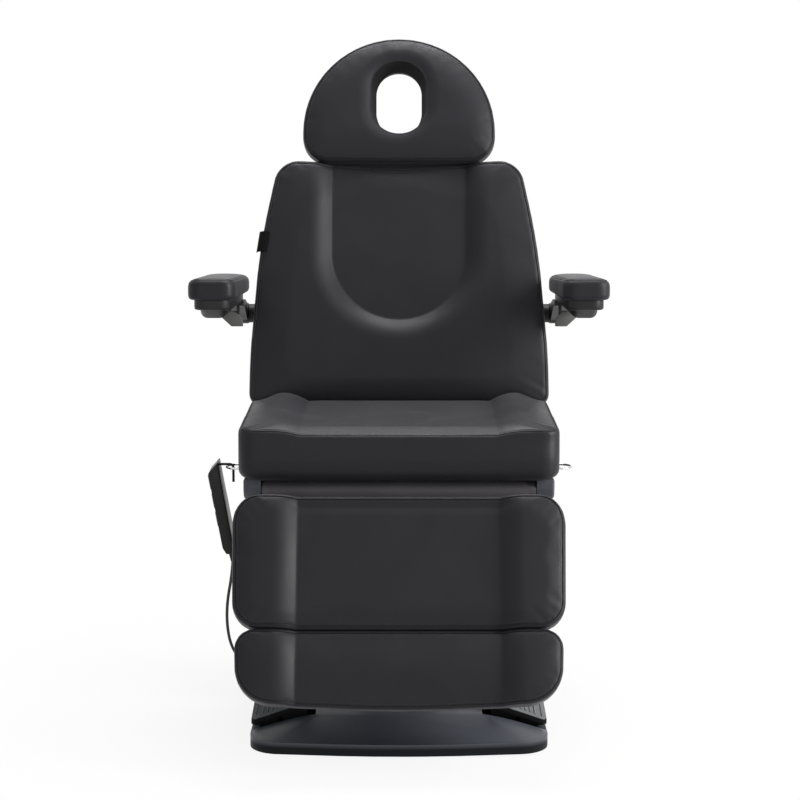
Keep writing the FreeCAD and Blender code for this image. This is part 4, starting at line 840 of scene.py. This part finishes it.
roll_half, roll_radius = 0.262, 0.0252
roll = bmesh.new()
start = [roll.verts.new((x, leg_axis_y - 0.743 * roll_radius, leg_axis_z - 0.669 * roll_radius))
         for x in (-roll_half, roll_half)]
line = roll.edges.new(start)
bmesh.ops.subdivide_edges(roll, edges=[line], cuts=84)
bmesh.ops.spin(roll, geom=roll.edges[:] + roll.verts[:], cent=(0, leg_axis_y, leg_axis_z), axis=(1, 0, 0),
               angle=math.radians(-197), steps=20, use_duplicate=False)
for vert in roll.verts:
    out = Vector((0, vert.co.y - leg_axis_y, vert.co.z - leg_axis_z)).normalized()
    fold = 0.0011 * noise.noise(Vector((vert.co.x * 9, vert.co.y * 45, vert.co.z * 45)))
    end = roll_half - abs(vert.co.x)
    hem = 0.0012 * math.exp(-((end - 0.004) / 0.003) ** 2) - 0.0010 * math.exp(-((end - 0.011) / 0.002) ** 2)
    vert.co += out * (fold + hem)
bmesh.ops.recalc_face_normals(roll, faces=roll.faces[:])
bmesh.ops.solidify(roll, geom=roll.faces[:], thickness=0.003)
# The valance is the pads' charcoal leather painted much lighter, as painted light for the shade under the seat's
# overhang.
valance = mesh_piece("valance", roll, "leg_rest", "leather", leather("valance_painted_light_leather", linear(86, 84, 88), 0.34))
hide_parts("hinge_roll")

# Gussets: loose leather strips that close the gaps where the back meets the seat and where the head rest meets the
# back.

def gusset(name, half, ends, sag, to_row):
    """A strip between two lines across X, given as points, hanging slack by the sag."""
    strip = bmesh.new()
    near, far = Vector(ends[0]), Vector(ends[1])
    edge = strip.edges.new([strip.verts.new((x, near.y, near.z)) for x in (-half, half)])
    bmesh.ops.subdivide_edges(strip, edges=[edge], cuts=40)
    line = strip.edges[:]
    steps = 12
    for step in range(steps):
        moved = bmesh.ops.extrude_edge_only(strip, edges=line)
        bmesh.ops.translate(strip, verts=[p for p in moved["geom"] if isinstance(p, bmesh.types.BMVert)],
                            vec=(far - near) / steps)
        line = [p for p in moved["geom"] if isinstance(p, bmesh.types.BMEdge)]
    length = (far - near).length
    for vert in strip.verts:
        share = (Vector((0, vert.co.y, vert.co.z)) - Vector((0, near.y, near.z))).dot(far - near) / length ** 2
        drop = 4 * share * (1 - share)
        vert.co += Vector(sag) * drop * (1 + 0.25 * noise.noise(vert.co * 22))
    bmesh.ops.recalc_face_normals(strip, faces=strip.faces[:])
    bmesh.ops.solidify(strip, geom=strip.faces[:], thickness=0.0016)
    piece = meshed(name, strip)
    piece.data.transform(to_row)
    piece.data.materials.append(gusset_painted_shade)
    smooth(piece)
    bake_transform(piece)


# Painted shade: the gussets are near-black sheets of leather standing in for the shade in the gaps between the
# pads.
gusset_painted_shade = leather("gusset_painted_shade", linear(13, 13, 15), 0.6)
gusset("back_gusset", 0.245, ((0, 0.146, 0.580), (0, 0.200, 0.585)), (0, 0, -0.012), Matrix.Identity(4))
gusset("head_gusset", 0.174, ((0, 0.522, -0.004), (0, 0.549, -0.004)), (0, 0, -0.008), lean)

# Armrests: a narrow covered pad on a moulded black casing that turns on a post of the
# back frame, with a grey release lever under its rear end.

arm_hinge = (0, 0.325397, 0.7632)
on_post = Matrix.Translation(arm_hinge) @ Matrix.Rotation(math.radians(-3.5), 4, "X")
crosswise = Matrix.Rotation(math.radians(90), 4, "Y")
arm_inner, arm_outer, arm_front, arm_rear = 0.320, 0.412, -0.456, -0.070
tray_half, keel_half = 0.036, 0.026


def arm_slope(x, v):
    """The pad's top falling a little to the rear."""
    return 0.014 * (v - arm_front)


for side, sign in (("left", -1), ("right", 1)):
    low_x, high_x = sorted((sign * arm_inner, sign * arm_outer))
    arm_corners = [(low_x, arm_front, 0.026), (high_x, arm_front, 0.026),
                   (high_x + 0.004, arm_rear, 0.022), (low_x - 0.004, arm_rear, 0.022)]
    upholstered("arm_" + side, "arm_pad_" + side, "arm_" + side, arm_corners, (0.0495, 0.095), 0.014, 0.008, 0.004,
                arm_slope, 0.007, on_post, voxel=0.004)
    casing = bmesh.new()
    middle = sign * 0.365
    tray = [(middle - tray_half, -0.446, 0.049), (middle + tray_half, -0.446, 0.049),
            (middle + tray_half, -0.074, 0.049), (middle - tray_half, -0.074, 0.049)]
    extruded(casing, tray, (0, 0, -0.019))
    rounded(casing, [e for e in casing.edges if abs(e.verts[0].co.z - e.verts[1].co.z) > 0.01], 0.024, 7)
    rounded(casing, [e for e in casing.edges if all(v.co.z < 0.031 for v in e.verts)], 0.005, 3)
    keel = [(middle - keel_half, y, z) for y, z in ((-0.430, 0.032), (-0.400, 0.0125), (-0.092, 0.0175),
                                                    (-0.078, 0.032))]
    new = extruded(casing, keel, (2 * keel_half, 0, 0))
    under = {e for f in new for e in f.edges
             if abs(e.verts[0].co.x - e.verts[1].co.x) < 1e-6 and max(v.co.z for v in e.verts) < 0.0325
             and min(v.co.z for v in e.verts) < 0.023}
    rounded(casing, under, 0.017, 6)
    bracket = [(sign * 0.326, y, z) for y, z in ((-0.132, 0.034), (-0.132, 0.023), (-0.092, 0.0175), (0.0, -0.0215),
                                                 (0.0, 0.0215), (-0.072, 0.034))]
    extruded(casing, bracket, (sign * 0.034, 0, 0))
    hub = bmesh.ops.create_cone(casing, cap_ends=True, cap_tris=False, segments=48, radius1=0.022, radius2=0.022,
                                depth=0.0375, matrix=Matrix.Translation((sign * 0.34125, 0, 0)) @ crosswise)
    rounded(casing, {e for v in hub["verts"] for e in v.link_edges if e.calc_face_angle(0) > 1}, 0.003, 3)
    for ear in (0.335, 0.374):
        lug = [(sign * ear, y, z) for y, z in ((-0.127, 0.023), (-0.127, 0.009), (-0.1255, 0.0055), (-0.122, 0.004),
                                               (-0.1185, 0.0055), (-0.117, 0.009), (-0.117, 0.023))]
        extruded(casing, lug, (sign * 0.006, 0, 0))
    casing.transform(on_post)
    shell = mesh_piece("arm_casing_" + side, casing, "arm_" + side, "black_plastic", black_plastic)
    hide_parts("arm_shell_" + side)

    paddle = bmesh.new()
    blade = [(sign * x, -0.126, z) for x, z in ((0.342, 0.011), (0.3725, 0.011), (0.3735, -0.001), (0.352, -0.021),
                                                (0.3275, -0.021), (0.3285, -0.007), (0.333, 0.001))]
    extruded(paddle, blade, (0, 0.008, 0))
    rounded(paddle, paddle.edges[:], 0.0018, 2)
    bmesh.ops.create_cone(paddle, cap_ends=True, cap_tris=False, segments=24, radius1=0.003, radius2=0.003,
                          depth=0.045, matrix=Matrix.Translation((sign * 0.3575, -0.122, 0.009)) @ crosswise)
    paddle.transform(on_post)
    lever = mesh_piece("release_lever_" + side, paddle, "lever_" + side, "grey_plastic", grey_plastic)
    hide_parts("arm_lever_" + side)

# Hand control: a slim black case hung by its wire hook on the left loop, with three
# rocker keys on its outer face.

in_hand = Matrix.Translation((-0.3715, -0.060, 0.511)) @ Matrix.Rotation(math.radians(-10.2), 4, "Y")
case_half, case_foot = 0.031, -0.186
case = bmesh.new()
profile = [(x, -case_half, z) for x, z in ((0.0115, 0.0), (-0.0095, -0.0165), (-0.0115, -0.0200), (-0.0115, -0.172),
                                           (-0.006, case_foot), (0.0115, case_foot))]
extruded(case, profile, (0, 2 * case_half, 0))
bmesh.ops.recalc_face_normals(case, faces=case.faces[:])
rounded(case, [e for e in case.edges if e.calc_face_angle(0) > 0.3], 0.0030, 3)
slab = meshed("case_slab", case)
pockets = bmesh.new()
for down in (0.038, 0.076, 0.114):
    bmesh.ops.create_cube(pockets, size=1.0, matrix=Matrix.Translation((-0.0095, 0, -down))
                          @ Matrix.Diagonal((0.017, 0.0374, 0.0314, 1)))
pocket_block = meshed("key_pockets", pockets)
sunk = slab.modifiers.new("pockets", "BOOLEAN")
sunk.operation = "DIFFERENCE"
sunk.object = pocket_block
baked(slab)
bpy.data.objects.remove(pocket_block)
case = bmesh.new()
case.from_mesh(slab.data)
bpy.data.objects.remove(slab)
for drop, wide in ((0.0, 0.0056), (0.0045, 0.0051), (0.009, 0.0047), (0.0135, 0.0043), (0.018, 0.0040)):
    bmesh.ops.create_cone(case, cap_ends=True, cap_tris=False, segments=28, radius1=wide * 0.86, radius2=wide,
                          depth=0.0043, matrix=Matrix.Translation((0, 0, -0.188 - drop)))
case.transform(in_hand)
case_plastic = moulded_plastic("case_plastic", linear(13, 13, 14), rough=(0.3, 0.42))
hand_case = mesh_piece("hand_control", case, "handset", "black_plastic", case_plastic)
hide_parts("handset_case")
dress(black_steel, "handset_hook")
dress(grey_plastic, "height_key", "back_key", "leg_key")
